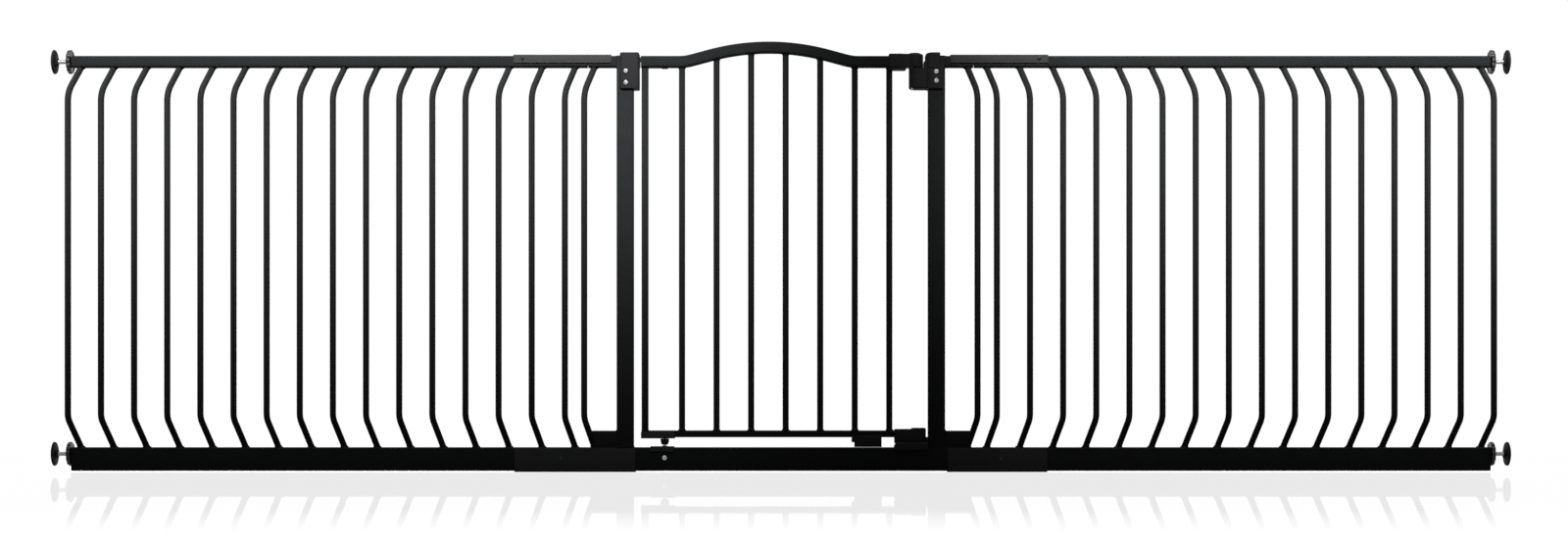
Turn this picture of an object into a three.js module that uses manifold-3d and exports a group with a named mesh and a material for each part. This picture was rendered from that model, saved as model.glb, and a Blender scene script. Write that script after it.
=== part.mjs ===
// A pressure-mounted safety gate for a wide opening: a gate frame with a lift-and-swing door in the
// middle, an extension panel joined on at each side, and four screw-out wall pads.
// Millimetres, +Z up, +X to the right and -Y to the front; the origin is on the floor at mid-width.

import * as THREE from 'three';
import { mergeVertices } from 'three/addons/utils/BufferGeometryUtils.js';
import Module from 'manifold-3d';

const wasm = await Module();
wasm.setup();

// ---- Driving dimensions ------------------------------------------------------------------------

const SEAT_GAP = 0.3; // between pieces that rest on or sit beside each other

// Rails and tubes
const RAIL_TOP = 737; // top face of the upper rails above the floor
const TOP_RAIL_SIZE = 20; // upper rails are square tube
const BASE_RAIL_HEIGHT = 42;
const BASE_RAIL_DEPTH = 25;
const RAIL_WALL = 1.5;
const RAIL_CORNER = 2.5;
const BAR_RADIUS = 5.5;
const BAR_WALL = 1.1;
const BAR_SIDES = 8;
const BORE_SIDES = 6;
const ROD_SIDES = 12;
const HEAD_SIDES = 16;
const SHANK_SIDES = 8;
const CURVE_STEPS = 2; // straight pieces in each rounded corner

// Bowed bars of the extension panels and the gate frame
const BOW_FORWARD = 28; // the bowed length stands this far in front of the rails
const BOW_OUTWARD = 16; // and this far towards the wall
const BOW_FOOT = 51; // height of the lower bend above the base rail
const BOW_HEAD = 44; // depth of the upper bend under the top rail
const BEND_REACH = 13; // each bend is rounded over this length of bar

// Gate frame
const FRAME_WIDTH = 683;
const FRAME_STUB = 50.5; // top rail beyond each post
const POST_WIDTH = 30;
const POST_DEPTH = 25;
const BASE_BRACKET_LENGTH = 43.5;
const BASE_BRACKET_HEIGHT = 29;
const BASE_BRACKET_DEPTH = 20;
const SIDE_BAR_INSET = 10.5; // side bar's foot from the end of the base rail

// Extension panels
const PANEL_WIDTH = 912;
const PANEL_JOINT = 1.6; // between a panel's rails and the frame's
const PANEL_BARS = 16;
const PANEL_BAR_INNER = 22; // first bar's foot from the panel's inner end
const PANEL_BAR_OUTER = 13.5; // last bar's foot from its outer end

// Connectors
const SHEET = 1.5;
const TOP_CONNECTOR_LENGTH = 173;
const TOP_CONNECTOR_OVERLAP = 41; // reach over the frame's stub
const TOP_CONNECTOR_FLANGE = 13;
const TOP_CONNECTOR_SCREW_DROP = 5; // screw's axis under the rail's top face
const BASE_CONNECTOR_REACH = 130; // reach along the panel
const LEFT_BASE_CONNECTOR_OVERLAP = 84; // reach along the frame's base rail
const RIGHT_BASE_CONNECTOR_OVERLAP = 46;
const BASE_CONNECTOR_STEP = 2.2; // flange below the base rail's top
const CONNECTOR_SCREW_RADIUS = 3.2;
const CONNECTOR_SCREW_HEAD = 1.6;
const TOP_CONNECTOR_SCREW_INSET = 16; // from the connector's outer end
const BASE_CONNECTOR_SCREW_INSET = 82;

// Wall fittings
const BASE_SPINDLE_DROP = 11.8; // below the base rail's top
const SPINDLE_RADIUS = 4;
const SPINDLE_LENGTH = 72;
const SPINDLE_SEAT = 3; // spindle's end inside the wall cup
const PAD_GAP = 18; // hand nut to wall cup hub, as adjusted here
const CUP_RADIUS = 21.3;
const CUP_THICKNESS = 4.5;
const CUP_HUB_RADIUS = 9;
const CUP_HUB_LENGTH = 3.5;
const RUBBER_RADIUS = 18.5;
const RUBBER_THICKNESS = 2.2;
const RUBBER_RECESS = 1.4;
const NUT_RADIUS = 21.3;
const NUT_THICKNESS = 7;
const NUT_GRIPS = 12;
const NUT_GRIP_DEPTH = 1.3;
const BUSH_FLANGE = 1.5;
const BUSH_PLUG = 14;
const SPINDLE_CLEARANCE = 0.5;
const DISC_SIDES = 20;

// Door
const DOOR_GAP = 13; // left post to the end of the door's top rail
const DOOR_RAIL_WALL = 1.5;
const STILE_WIDTH = 12;
const STILE_INSET = 1; // stile's outer face from the rail's left end
const DOOR_BARS = 7;
const DOOR_FIRST_BAR = 72.6; // from the top rail's left end
const DOOR_LAST_BAR = 45.1; // inboard of the latch
const DOOR_BAR_RADIUS = 5.5;
const DOOR_FOOT_GAP = 17.6; // base rail to the door's lower rail
const DOOR_FOOT_RAIL_SIZE = 12.2;
const DOOR_FOOT_RAIL_INSET = 36.5; // inboard of the latch
const ARCH_OFFSET = 21.4; // the arch's crown is this far left of mid-doorway
const ARCH_CROWN_RADIUS = 400;
const ARCH_HAUNCH_RADIUS = 90;
const ARCH_SLOPE = THREE.MathUtils.degToRad(15);
const ARCH_RISE = 25.5;
const CROWN_STEPS = 4; // straight pieces in each half of the crown
const HAUNCH_STEPS = 2;

// Door hinge
const PIVOT_INSET = 42; // from the door rail's left end
const DOOR_LIFT = 8; // the door lifts this far to clear its catches
const PIVOT_PIN_RADIUS = 3;
const PIVOT_CLEARANCE = 0.4;
const HINGE_ARM_WIDTH = 10;
const TOP_PIN_HEAD_RADIUS = 6;
const TOP_PIN_HEAD = 1.8;
const LIFT_BUSH_RADIUS = 7.7;
const LIFT_BUSH_FOOT_RADIUS = 6.6;
const LIFT_BUSH_LENGTH = 10.5;
const HINGE_SHOE_LEFT = 1; // beyond the stile's outer face
const HINGE_SHOE_RIGHT = 18; // beyond the pivot
const HINGE_SHOE_WALL = 1.8;
const PIVOT_PLATE_LEFT = 25;
const PIVOT_PLATE_RIGHT = 17;
const PIVOT_PLATE_THICKNESS = 1.5;
const PIVOT_PLATE_DROP = 8;
const PIVOT_SHOULDER_RADIUS = 4.6;
const PIVOT_STEM_RADIUS = 4;
const PIVOT_STEM_FOOT = 8; // the pivot pin's stem runs on this far below its screw
const PIVOT_SCREW_DROP = 18.8; // below the base rail's top
const SILVER_SCREW_HEAD_RADIUS = 4;
const SILVER_SCREW_HEAD = 2.2;
const SILVER_SCREW_SHANK_RADIUS = 2.2;
const SCREW_RIM = 0.55; // share of a screw head's height that is its full-width rim
const SCREW_CROWN = 0.8; // and the width of what is above it, as a share of the rim's

// Brackets on the posts
const BRACKET_DEPTH = 34;
const BRACKET_DROP = 39; // below the top rail
const BRACKET_CAP = 5; // thickness of the hood over the post's top
const BRACKET_CORNER = 5;
const HINGE_BRACKET_LEFT = 9; // outboard of the post's centre
const HINGE_BRACKET_WALL = 10.2; // beyond the post's inner face
const HINGE_SCREW_OFFSET = 1.7; // inboard of the post's centre
const HINGE_SCREW_DROP = 28; // upper screw below the rail's top
const HINGE_SCREW_PITCH = 20.5;
const HINGE_COLLAR = 1.2; // the collar round the arm stands this far out of the bracket
const HINGE_COLLAR_HALF_DEPTH = 8;
const HINGE_COLLAR_HEIGHT = 17; // above the top rail's underside
const CATCH_BRACKET_WALL = 5; // beyond the post's inner face
const CATCH_BRACKET_RIGHT = 11.5; // outboard of the post's centre
const CATCH_HOOD_RIGHT = 6.4;
const CATCH_SCREW_OFFSET = 1;
const CATCH_SCREW_DROP = 29;
const CATCH_SCREW_PITCH = 16;
const CATCH_SHOULDER_GAP = 0.8; // between the bracket's shoulder and the handle's boss
const CATCH_SHOULDER_DROP = 10; // shoulder below the rail's top
const CATCH_POD_GAP = 1.5; // under the handle's boss
const CATCH_POD_RADIUS = 13.5;
const CATCH_POD_OFFSET = 3; // from the latch towards the post
const CATCH_PIN_RADIUS = 2;
const CATCH_PIN_STAND = 0.8;
const CATCH_PIN_OFFSET = 8; // inboard and in front of the pod's centre

// Handle
const HANDLE_GAP = 3.5; // between the handle's boss and the catch bracket
const HANDLE_LENGTH = 46.5; // from the boss's centre to the sleeve's end
const HANDLE_COVER = 3.5; // above the door's top rail
const HANDLE_SKIRT = 4.5; // the sleeve's left half hangs this far under the rail
const HANDLE_SLEEVE_HALF_DEPTH = 14;
const HANDLE_WAIST = 15.5; // from the boss's centre to the waist
const HANDLE_TAPER = 12; // length of the narrowing before the waist
const HANDLE_WAIST_HALF_DEPTH = 12;
const HANDLE_BOSS_RADIUS = 15;
const HANDLE_BOSS_STEPS = 10;
const HANDLE_BOSS_SWEEP = THREE.MathUtils.degToRad(250);
const HANDLE_RAIL_GRIP = 28; // length of door rail inside the handle
const BUTTON_RADIUS = 7;
const BUTTON_STAND = 2.4; // above the handle
const BUTTON_THICKNESS = 7;
const BUTTON_TRAVEL = 2;
const BUTTON_EDGE = 1.2; // its top edge slopes in by this much
const BUTTON_CLEARANCE = 0.4;
const BUTTON_STEM_RADIUS = 2;
const SPRING_RADIUS = 4.6;
const SPRING_WIRE = 0.5;
const SPRING_TURNS = 3;
const SPRING_STEPS = 8; // straight pieces in each turn
const WIRE_SIDES = 5;
const LATCH_PIN_RADIUS = 2.8;
const LATCH_PIN_TOP = 6; // up inside the handle
const LIFTED_CLEARANCE = 1; // between the lifted latch pin and the pod
const SOCKET_CLEARANCE = 0.8;
const SOCKET_FLOOR_GAP = 2;

// Lower catch and door stop
const LUG_GAP = 4; // between the lug and the right post
const LUG_NOSE_LENGTH = 24.5;
const LUG_COVER = 4.6; // above the door's lower rail
const LUG_CLEARANCE = 0.6; // between the lug's body and the strike's front wall
const LUG_BODY_STEP = 2; // the nose stands this far above the rest
const LUG_NOSE_DIP = 3; // how far the nose drops behind the strike's front wall
const LUG_HALF_DEPTH = 8.5;
const LUG_GRIP = 10; // length of the lug's spigot inside the door's lower rail
const STRIKE_LENGTH = 60;
const STRIKE_FLOOR = 2.4;
const STRIKE_WALL = 3;
const STRIKE_HEIGHT = 8.2; // above the base rail
const STRIKE_CHEEK = 3; // thickness of the end wall beside the post
const STRIKE_CHEEK_HEIGHT = 18.3; // above the base rail
const STRIKE_LIP_DROP = 5;
const STOP_INSET = 82.5; // from the right post
const STOP_LENGTH = 53;
const STOP_STEP = 5; // the stop's upper half reaches this much further left
const STOP_LIP_WALL = 3;
const STOP_LIP_RISE = 4; // the stop's front lip above the door's lower rail's underside

// ---- Levels and places worked out from those ---------------------------------------------------

const baseRailZ = SHEET + SEAT_GAP;
const baseRailTop = baseRailZ + BASE_RAIL_HEIGHT;
const baseRailMid = baseRailZ + BASE_RAIL_HEIGHT / 2;
const topRailZ = RAIL_TOP - TOP_RAIL_SIZE;
const topRailMid = RAIL_TOP - TOP_RAIL_SIZE / 2;
const frameEnd = FRAME_WIDTH / 2;
const postX = frameEnd - FRAME_STUB - POST_WIDTH / 2;
const panelInner = frameEnd + PANEL_JOINT;
const panelOuter = panelInner + PANEL_WIDTH;
const panelFirstBar = panelInner + PANEL_BAR_INNER;
const panelBarPitch = (PANEL_WIDTH - PANEL_BAR_INNER - PANEL_BAR_OUTER) / (PANEL_BARS - 1);
const baseFront = BASE_RAIL_DEPTH / 2;
const bracketFront = BRACKET_DEPTH / 2;
const postInner = postX - POST_WIDTH / 2;
const bracketZ = topRailZ - BRACKET_DROP;
const bracketTop = RAIL_TOP + SEAT_GAP + BRACKET_CAP;
const hingeScrewZs = [0, 1].map((i) => RAIL_TOP - HINGE_SCREW_DROP - i * HINGE_SCREW_PITCH);
const catchScrewZs = [0, 1].map((i) => RAIL_TOP - CATCH_SCREW_DROP - i * CATCH_SCREW_PITCH);
const hingeScrewX = -postX + HINGE_SCREW_OFFSET;
const catchScrewX = postX - CATCH_SCREW_OFFSET;
const catchWallLeft = postInner - CATCH_BRACKET_WALL;

const doorLeft = -postInner + DOOR_GAP;
const stileLeft = doorLeft + STILE_INSET;
const pivotX = doorLeft + PIVOT_INSET;
const latchX = catchWallLeft - HANDLE_GAP - HANDLE_BOSS_RADIUS;
const handleLeft = latchX - HANDLE_LENGTH;
const handleWaist = latchX - HANDLE_WAIST;
const handleTop = RAIL_TOP + HANDLE_COVER;
const doorRailRight = handleLeft + HANDLE_RAIL_GRIP;
const doorFootZ = baseRailTop + DOOR_FOOT_GAP;
const doorFootTop = doorFootZ + DOOR_FOOT_RAIL_SIZE;
const doorFootRight = latchX - DOOR_FOOT_RAIL_INSET;
const firstBarX = doorLeft + DOOR_FIRST_BAR;
const lastBarX = latchX - DOOR_LAST_BAR;
const doorBarPitch = (lastBarX - firstBarX) / (DOOR_BARS - 1);

const hingeArmTop = RAIL_TOP - DOOR_RAIL_WALL - PIVOT_CLEARANCE;
const hingeArmZ = topRailZ + DOOR_RAIL_WALL + DOOR_LIFT + PIVOT_CLEARANCE;
const pivotScrewZ = baseRailTop - PIVOT_SCREW_DROP;
const pivotStemZ = pivotScrewZ - PIVOT_STEM_FOOT;
const shoeZ = doorFootZ - SEAT_GAP - HINGE_SHOE_WALL;
const liftBushTop = shoeZ - SEAT_GAP;
const liftBushZ = liftBushTop - LIFT_BUSH_LENGTH;
const podX = latchX + CATCH_POD_OFFSET;
const podTop = topRailZ - CATCH_POD_GAP;
const latchPinEnd = podTop + LIFTED_CLEARANCE - DOOR_LIFT;
const strikeTop = baseRailTop + STRIKE_HEIGHT;
const lugNoseEnd = strikeTop - LUG_NOSE_DIP;

// ---- Materials ---------------------------------------------------------------------------------

const powderCoat = new THREE.MeshStandardMaterial({ color: 0x1c1d1e, roughness: 0.55, metalness: 0.2 });
const blackSheet = new THREE.MeshStandardMaterial({ color: 0x2a2b2d, roughness: 0.5, metalness: 0.2 });
const blackPlastic = new THREE.MeshStandardMaterial({ color: 0x232425, roughness: 0.45, metalness: 0 });
const buttonPlastic = new THREE.MeshStandardMaterial({ color: 0x18191a, roughness: 0.4, metalness: 0 });
const zincSteel = new THREE.MeshStandardMaterial({ color: 0xb9bdc0, roughness: 0.3, metalness: 1 });
const blackScrew = new THREE.MeshStandardMaterial({ color: 0x151515, roughness: 0.4, metalness: 0.6 });
const rubber = new THREE.MeshStandardMaterial({ color: 0x111111, roughness: 0.9, metalness: 0 });

// ---- Joining and cutting -----------------------------------------------------------------------

function toSolid(geometry) {
  const bare = geometry.clone();
  bare.deleteAttribute('normal');
  bare.deleteAttribute('uv');
  const merged = mergeVertices(bare, 1e-4);
  return new wasm.Manifold(new wasm.Mesh({
    numProp: 3,
    vertProperties: new Float32Array(merged.attributes.position.array),
    triVerts: new Uint32Array(merged.index.array),
  }));
}

function toGeometry(solid) {
  const { vertProperties, triVerts } = solid.getMesh();
  const geometry = new THREE.BufferGeometry();
  geometry.setAttribute('position', new THREE.BufferAttribute(vertProperties, 3));
  geometry.setIndex(new THREE.BufferAttribute(triVerts, 1));
  geometry.computeVertexNormals();
  return geometry;
}

// One geometry from pieces that are joined, less the pieces that are cut away.
function join(added, removed = []) {
  let solid = added.map(toSolid).reduce((whole, next) => whole.add(next));
  for (const cutter of removed) solid = solid.subtract(toSolid(cutter));
  return toGeometry(solid);
}

// The same piece for the other side of the gate: X is reversed, and so is each triangle's order.
function mirrored(geometry) {
  const copy = mergeVertices(geometry.clone().deleteAttribute('uv').deleteAttribute('normal'), 1e-4);
  copy.scale(-1, 1, 1);
  const order = copy.index.array;
  for (let i = 0; i < order.length; i += 3) {
    [order[i], order[i + 1]] = [order[i + 1], order[i]];
  }
  copy.computeVertexNormals();
  return copy;
}

// ---- Plain shapes ------------------------------------------------------------------------------

const axisX = new THREE.Vector3(1, 0, 0);
const axisY = new THREE.Vector3(0, 1, 0);
const axisZ = new THREE.Vector3(0, 0, 1);

// A drawn outline pushed along one axis. Along x it is drawn in (y, z), along z in (x, y), and
// along front in (x, z), where the distances run from the back towards the front of the gate.
const drawnIn = {
  x: new THREE.Matrix4().makeBasis(axisY, axisZ, axisX),
  z: new THREE.Matrix4(),
  front: new THREE.Matrix4().makeBasis(axisX, axisZ, axisY.clone().negate()),
};

function prism(outline, axis, from, to) {
  const options = { depth: to - from, bevelEnabled: false, curveSegments: CURVE_STEPS };
  const geometry = new THREE.ExtrudeGeometry(outline, options);
  return geometry.translate(0, 0, from).applyMatrix4(drawnIn[axis]);
}

function block(x0, x1, y0, y1, z0, z1) {
  const geometry = new THREE.BoxGeometry(x1 - x0, y1 - y0, z1 - z0);
  return geometry.translate((x0 + x1) / 2, (y0 + y1) / 2, (z0 + z1) / 2);
}

function polygon(points) {
  return new THREE.Shape(points.map(([u, v]) => new THREE.Vector2(u, v)));
}

// A circle as a polygon whose flat sides touch it, one of them at the bottom.
function round(u, v, radius, sides) {
  const reach = radius / Math.cos(Math.PI / sides);
  const corner = (i) => ((i + 0.5) / sides) * 2 * Math.PI;
  return polygon(Array.from({ length: sides }, (_, i) => [
    u + reach * Math.cos(corner(i)),
    v + reach * Math.sin(corner(i)),
  ]));
}

function rectangle(u0, u1, v0, v1, corner) {
  const shape = new THREE.Shape();
  shape.moveTo(u0 + corner, v0);
  shape.lineTo(u1 - corner, v0);
  shape.quadraticCurveTo(u1, v0, u1, v0 + corner);
  shape.lineTo(u1, v1 - corner);
  shape.quadraticCurveTo(u1, v1, u1 - corner, v1);
  shape.lineTo(u0 + corner, v1);
  shape.quadraticCurveTo(u0, v1, u0, v1 - corner);
  shape.lineTo(u0, v0 + corner);
  shape.quadraticCurveTo(u0, v0, u0 + corner, v0);
  return shape;
}

// A round rod along Z, tapering from one radius to another.
function upright(x, y, z0, z1, lowRadius, highRadius = lowRadius, sides = ROD_SIDES) {
  const geometry = new THREE.CylinderGeometry(highRadius, lowRadius, z1 - z0, sides);
  return geometry.rotateX(Math.PI / 2).translate(x, y, (z0 + z1) / 2);
}

// A pan-head screw driven in from the front, with its head resting on the face at y = face.
function panScrew(x, z, face, headRadius, headHeight, shankRadius, shankLength) {
  const seat = -face + SEAT_GAP;
  const rimTop = seat + headHeight * SCREW_RIM;
  return join([
    prism(round(x, z, headRadius, HEAD_SIDES), 'front', seat, rimTop),
    prism(round(x, z, headRadius * SCREW_CROWN, HEAD_SIDES), 'front', seat, seat + headHeight),
    prism(round(x, z, shankRadius, SHANK_SIDES), 'front', seat - shankLength, rimTop),
  ]);
}

function screwHole(x, z, shankRadius) {
  const outline = round(x, z, shankRadius + SEAT_GAP, SHANK_SIDES);
  return prism(outline, 'front', 0, 2 * BRACKET_DEPTH);
}

// ---- The gate as a scene graph -----------------------------------------------------------------

const gate = new THREE.Group();

function addPiece(name, geometry, material) {
  const mesh = new THREE.Mesh(geometry, material);
  mesh.name = name;
  gate.add(mesh);
}

function addPair(name, rightGeometry, material) {
  addPiece(`right_${name}`, rightGeometry, material);
  addPiece(`left_${name}`, mirrored(rightGeometry), material);
}

// ---- Square tube -------------------------------------------------------------------------------

function topRailOutline(inset) {
  const half = TOP_RAIL_SIZE / 2 - inset;
  const corner = Math.max(RAIL_CORNER - inset, 0.5);
  return rectangle(-half, half, topRailMid - half, topRailMid + half, corner);
}

function baseRailOutline(inset) {
  const half = BASE_RAIL_DEPTH / 2 - inset;
  const corner = Math.max(RAIL_CORNER - inset, 0.5);
  return rectangle(-half, half, baseRailZ + inset, baseRailTop - inset, corner);
}

const openEnd = 2; // a hollow is cut this far past the end of its tube

// ---- Bowed bars --------------------------------------------------------------------------------

// A path through given points, sampled at the points themselves, so that a tube along it has a
// ring at each point, turned half-way between the two directions that meet there.
class BentPath extends THREE.Curve {
  constructor(points) {
    super();
    this.points = points;
  }

  getPoint(t, target = new THREE.Vector3()) {
    const place = Math.min(Math.max(t, 0), 1) * (this.points.length - 1);
    const i = Math.min(Math.floor(place), this.points.length - 2);
    return target.lerpVectors(this.points[i], this.points[i + 1], place - i);
  }

  getPointAt(u, target) {
    return this.getPoint(u, target);
  }

  getTangentAt(u, target = new THREE.Vector3()) {
    const last = this.points.length - 1;
    const i = Math.round(u * last);
    const before = this.points[Math.max(i - 1, 0)];
    const here = this.points[i];
    const after = this.points[Math.min(i + 1, last)];
    const coming = here.clone().sub(before).normalize();
    const going = after.clone().sub(here).normalize();
    return target.addVectors(coming, going).normalize();
  }
}

function tubeAlong(points, outline) {
  return new THREE.ExtrudeGeometry(outline, {
    steps: points.length - 1,
    curveSegments: CURVE_STEPS,
    extrudePath: new BentPath(points),
  });
}

// Points of a bar that leaves the base rail at x, leans out to the bowed plane, stands upright, and
// leans back to the top rail. Each end runs on by overrun along its own slope.
function bowedBarPoints(x, z0, z1, overrun) {
  const foot = new THREE.Vector3(x, 0, z0);
  const head = new THREE.Vector3(x, 0, z1);
  const bow = new THREE.Vector3(BOW_OUTWARD, -BOW_FORWARD, 0);
  const lower = foot.clone().add(bow).setZ(z0 + BOW_FOOT);
  const upper = head.clone().add(bow).setZ(z1 - BOW_HEAD);
  const towards = (from, to, distance) => {
    return from.clone().add(to.clone().sub(from).setLength(distance));
  };
  return [
    towards(foot, lower, -overrun),
    towards(lower, foot, BEND_REACH),
    towards(lower, upper, BEND_REACH),
    towards(upper, lower, BEND_REACH),
    towards(upper, head, BEND_REACH),
    towards(head, upper, -overrun),
  ];
}

const barOutside = round(0, 0, BAR_RADIUS, BAR_SIDES);
const barInside = round(0, 0, BAR_RADIUS - BAR_WALL, BORE_SIDES);

// ---- Extension panels --------------------------------------------------------------------------

// Two square-tube rails with round bars let into them: the bars' bores open into the rails.
function extensionPanel() {
  const rails = [
    prism(topRailOutline(0), 'x', panelInner, panelOuter),
    prism(baseRailOutline(0), 'x', panelInner, panelOuter),
  ];
  const hollows = [
    prism(topRailOutline(RAIL_WALL), 'x', panelInner - openEnd, panelOuter + openEnd),
    prism(baseRailOutline(RAIL_WALL), 'x', panelInner - openEnd, panelOuter + openEnd),
  ];
  for (let i = 0; i < PANEL_BARS; i += 1) {
    const x = panelFirstBar + i * panelBarPitch;
    rails.push(tubeAlong(bowedBarPoints(x, baseRailTop, topRailZ, RAIL_WALL * 2), barOutside));
    hollows.push(tubeAlong(bowedBarPoints(x, baseRailTop, topRailZ, RAIL_WALL * 4), barInside));
  }
  return join(rails, hollows);
}

addPair('extension_panel', extensionPanel(), powderCoat);

// ---- Gate frame --------------------------------------------------------------------------------

addPiece('base_rail', join(
  [prism(baseRailOutline(0), 'x', -frameEnd, frameEnd)],
  [
    prism(baseRailOutline(RAIL_WALL), 'x', -frameEnd - openEnd, frameEnd + openEnd),
    upright(pivotX, 0, BASE_RAIL_HEIGHT / 2, baseRailTop + openEnd, PIVOT_STEM_RADIUS + SEAT_GAP),
    screwHole(pivotX, pivotScrewZ, SILVER_SCREW_SHANK_RADIUS),
  ],
), powderCoat);

// A post with the short top rail stub welded to its outer side. Both are open tubes.
function postWithStub(screwX, screwZs) {
  const outline = (inset) => rectangle(
    postInner + inset, postInner + POST_WIDTH - inset,
    -POST_DEPTH / 2 + inset, POST_DEPTH / 2 - inset, RAIL_CORNER - inset,
  );
  const foot = baseRailTop + SEAT_GAP;
  const outer = postInner + POST_WIDTH;
  return join(
    [
      prism(outline(0), 'z', foot, RAIL_TOP),
      prism(topRailOutline(0), 'x', outer - RAIL_WALL / 2, frameEnd),
    ],
    [
      prism(outline(RAIL_WALL), 'z', foot - openEnd, RAIL_TOP + openEnd),
      prism(topRailOutline(RAIL_WALL), 'x', outer + RAIL_WALL, frameEnd + openEnd),
      ...screwZs.map((z) => screwHole(screwX, z, SILVER_SCREW_SHANK_RADIUS)),
    ],
  );
}

addPiece('right_post', postWithStub(catchScrewX, catchScrewZs), powderCoat);
addPiece('left_post', mirrored(postWithStub(-hingeScrewX, hingeScrewZs)), powderCoat);

// The tall bar between the stub and the base rail, outboard of each post.
const sideBarX = frameEnd - SIDE_BAR_INSET;
const sideBarPoints = (overrun) => bowedBarPoints(sideBarX, baseRailTop, topRailZ, overrun);
addPair('side_bar', join(
  [tubeAlong(sideBarPoints(0), barOutside)],
  [
    tubeAlong(sideBarPoints(openEnd), barInside),
    prism(baseRailOutline(-SEAT_GAP), 'x', postX, frameEnd + openEnd),
    prism(topRailOutline(-SEAT_GAP), 'x', postX, frameEnd + openEnd),
  ],
), powderCoat);

// A short box welded into the corner between each post and the base rail.
function baseBracket() {
  const inner = postX + POST_WIDTH / 2 + SEAT_GAP;
  const z0 = baseRailTop + SEAT_GAP;
  const half = BASE_BRACKET_DEPTH / 2;
  const outline = (inset) => rectangle(
    -half + inset, half - inset, z0 + inset, z0 + BASE_BRACKET_HEIGHT - inset, RAIL_CORNER - inset,
  );
  return join(
    [prism(outline(0), 'x', inner, inner + BASE_BRACKET_LENGTH)],
    [
      prism(outline(RAIL_WALL), 'x', inner - openEnd, inner + BASE_BRACKET_LENGTH + openEnd),
      tubeAlong(sideBarPoints(0), round(0, 0, BAR_RADIUS + SEAT_GAP, BAR_SIDES)),
    ],
  );
}

addPair('base_bracket', baseBracket(), powderCoat);

// ---- Connectors between the frame and the panels -----------------------------------------------

// A folded channel pushed over the butted ends of two rails, drawn in (y, z) as an open U.
function channelOutline(halfWidth, webZ, flangeZ) {
  const thickness = webZ < flangeZ ? SHEET : -SHEET;
  return polygon([
    [-halfWidth, webZ], [halfWidth, webZ], [halfWidth, flangeZ], [halfWidth - SHEET, flangeZ],
    [halfWidth - SHEET, webZ + thickness], [-halfWidth + SHEET, webZ + thickness],
    [-halfWidth + SHEET, flangeZ], [-halfWidth, flangeZ],
  ]);
}

const topChannelHalf = TOP_RAIL_SIZE / 2 + SEAT_GAP + SHEET;
const topChannelInner = frameEnd - TOP_CONNECTOR_OVERLAP;
const topChannelOuter = topChannelInner + TOP_CONNECTOR_LENGTH;
const topConnectorScrewX = topChannelOuter - TOP_CONNECTOR_SCREW_INSET;
const topConnectorScrewZ = RAIL_TOP - TOP_CONNECTOR_SCREW_DROP;
const topChannelWeb = RAIL_TOP + SEAT_GAP + SHEET;
const topChannelOutline = channelOutline(
  topChannelHalf, topChannelWeb, RAIL_TOP - TOP_CONNECTOR_FLANGE,
);
addPair('top_connector', join(
  [prism(topChannelOutline, 'x', topChannelInner, topChannelOuter)],
  [screwHole(topConnectorScrewX, topConnectorScrewZ, CONNECTOR_SCREW_RADIUS / 2)],
), blackSheet);

const baseChannelHalf = baseFront + SEAT_GAP + SHEET;
const baseConnectorScrewX = frameEnd + BASE_CONNECTOR_REACH - BASE_CONNECTOR_SCREW_INSET;

function baseConnector(overlap) {
  const outline = channelOutline(baseChannelHalf, 0, baseRailTop - BASE_CONNECTOR_STEP);
  return join(
    [prism(outline, 'x', frameEnd - overlap, frameEnd + BASE_CONNECTOR_REACH)],
    [screwHole(baseConnectorScrewX, baseRailMid, CONNECTOR_SCREW_RADIUS / 2)],
  );
}

addPiece('right_base_connector', baseConnector(RIGHT_BASE_CONNECTOR_OVERLAP), blackSheet);
addPiece('left_base_connector', mirrored(baseConnector(LEFT_BASE_CONNECTOR_OVERLAP)), blackSheet);

// Each connector is pinned by one black screw that ends against the rail's front wall.
function connectorScrew(x, z, face) {
  const shankRadius = CONNECTOR_SCREW_RADIUS / 2;
  return panScrew(x, z, face, CONNECTOR_SCREW_RADIUS, CONNECTOR_SCREW_HEAD, shankRadius, SHEET);
}

const topScrew = connectorScrew(topConnectorScrewX, topConnectorScrewZ, -topChannelHalf);
const baseScrew = connectorScrew(baseConnectorScrewX, baseRailMid, -baseChannelHalf);
addPair('top_connector_screw', topScrew, blackScrew);
addPair('base_connector_screw', baseScrew, blackScrew);

// ---- Wall fittings -----------------------------------------------------------------------------

const bushOuter = panelOuter + SEAT_GAP + BUSH_FLANGE;
const nutInner = bushOuter + SEAT_GAP;
const nutOuter = nutInner + NUT_THICKNESS;
const cupHubInner = nutOuter + PAD_GAP;
const cupInner = cupHubInner + CUP_HUB_LENGTH;
const cupOuter = cupInner + CUP_THICKNESS;
const rubberInner = cupOuter - RUBBER_RECESS + SEAT_GAP;

// A round disc or bore along X, centred on a spindle's axis.
function disc(z, radius, from, to) {
  return prism(round(0, z, radius, DISC_SIDES), 'x', from, to);
}

// The plastic plug in the rail's end, which the spindle slides through.
function railEndBush(outline, z) {
  const plugEnd = panelOuter - BUSH_PLUG;
  return join(
    [
      prism(outline(0), 'x', panelOuter + SEAT_GAP, bushOuter),
      prism(outline(RAIL_WALL + SEAT_GAP), 'x', plugEnd, bushOuter - BUSH_FLANGE / 2),
    ],
    [disc(z, SPINDLE_RADIUS + SPINDLE_CLEARANCE, plugEnd - openEnd, bushOuter + openEnd)],
  );
}

function spindle(z) {
  const outer = cupHubInner + SPINDLE_SEAT;
  return prism(round(0, z, SPINDLE_RADIUS, ROD_SIDES), 'x', outer - SPINDLE_LENGTH, outer);
}

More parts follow.
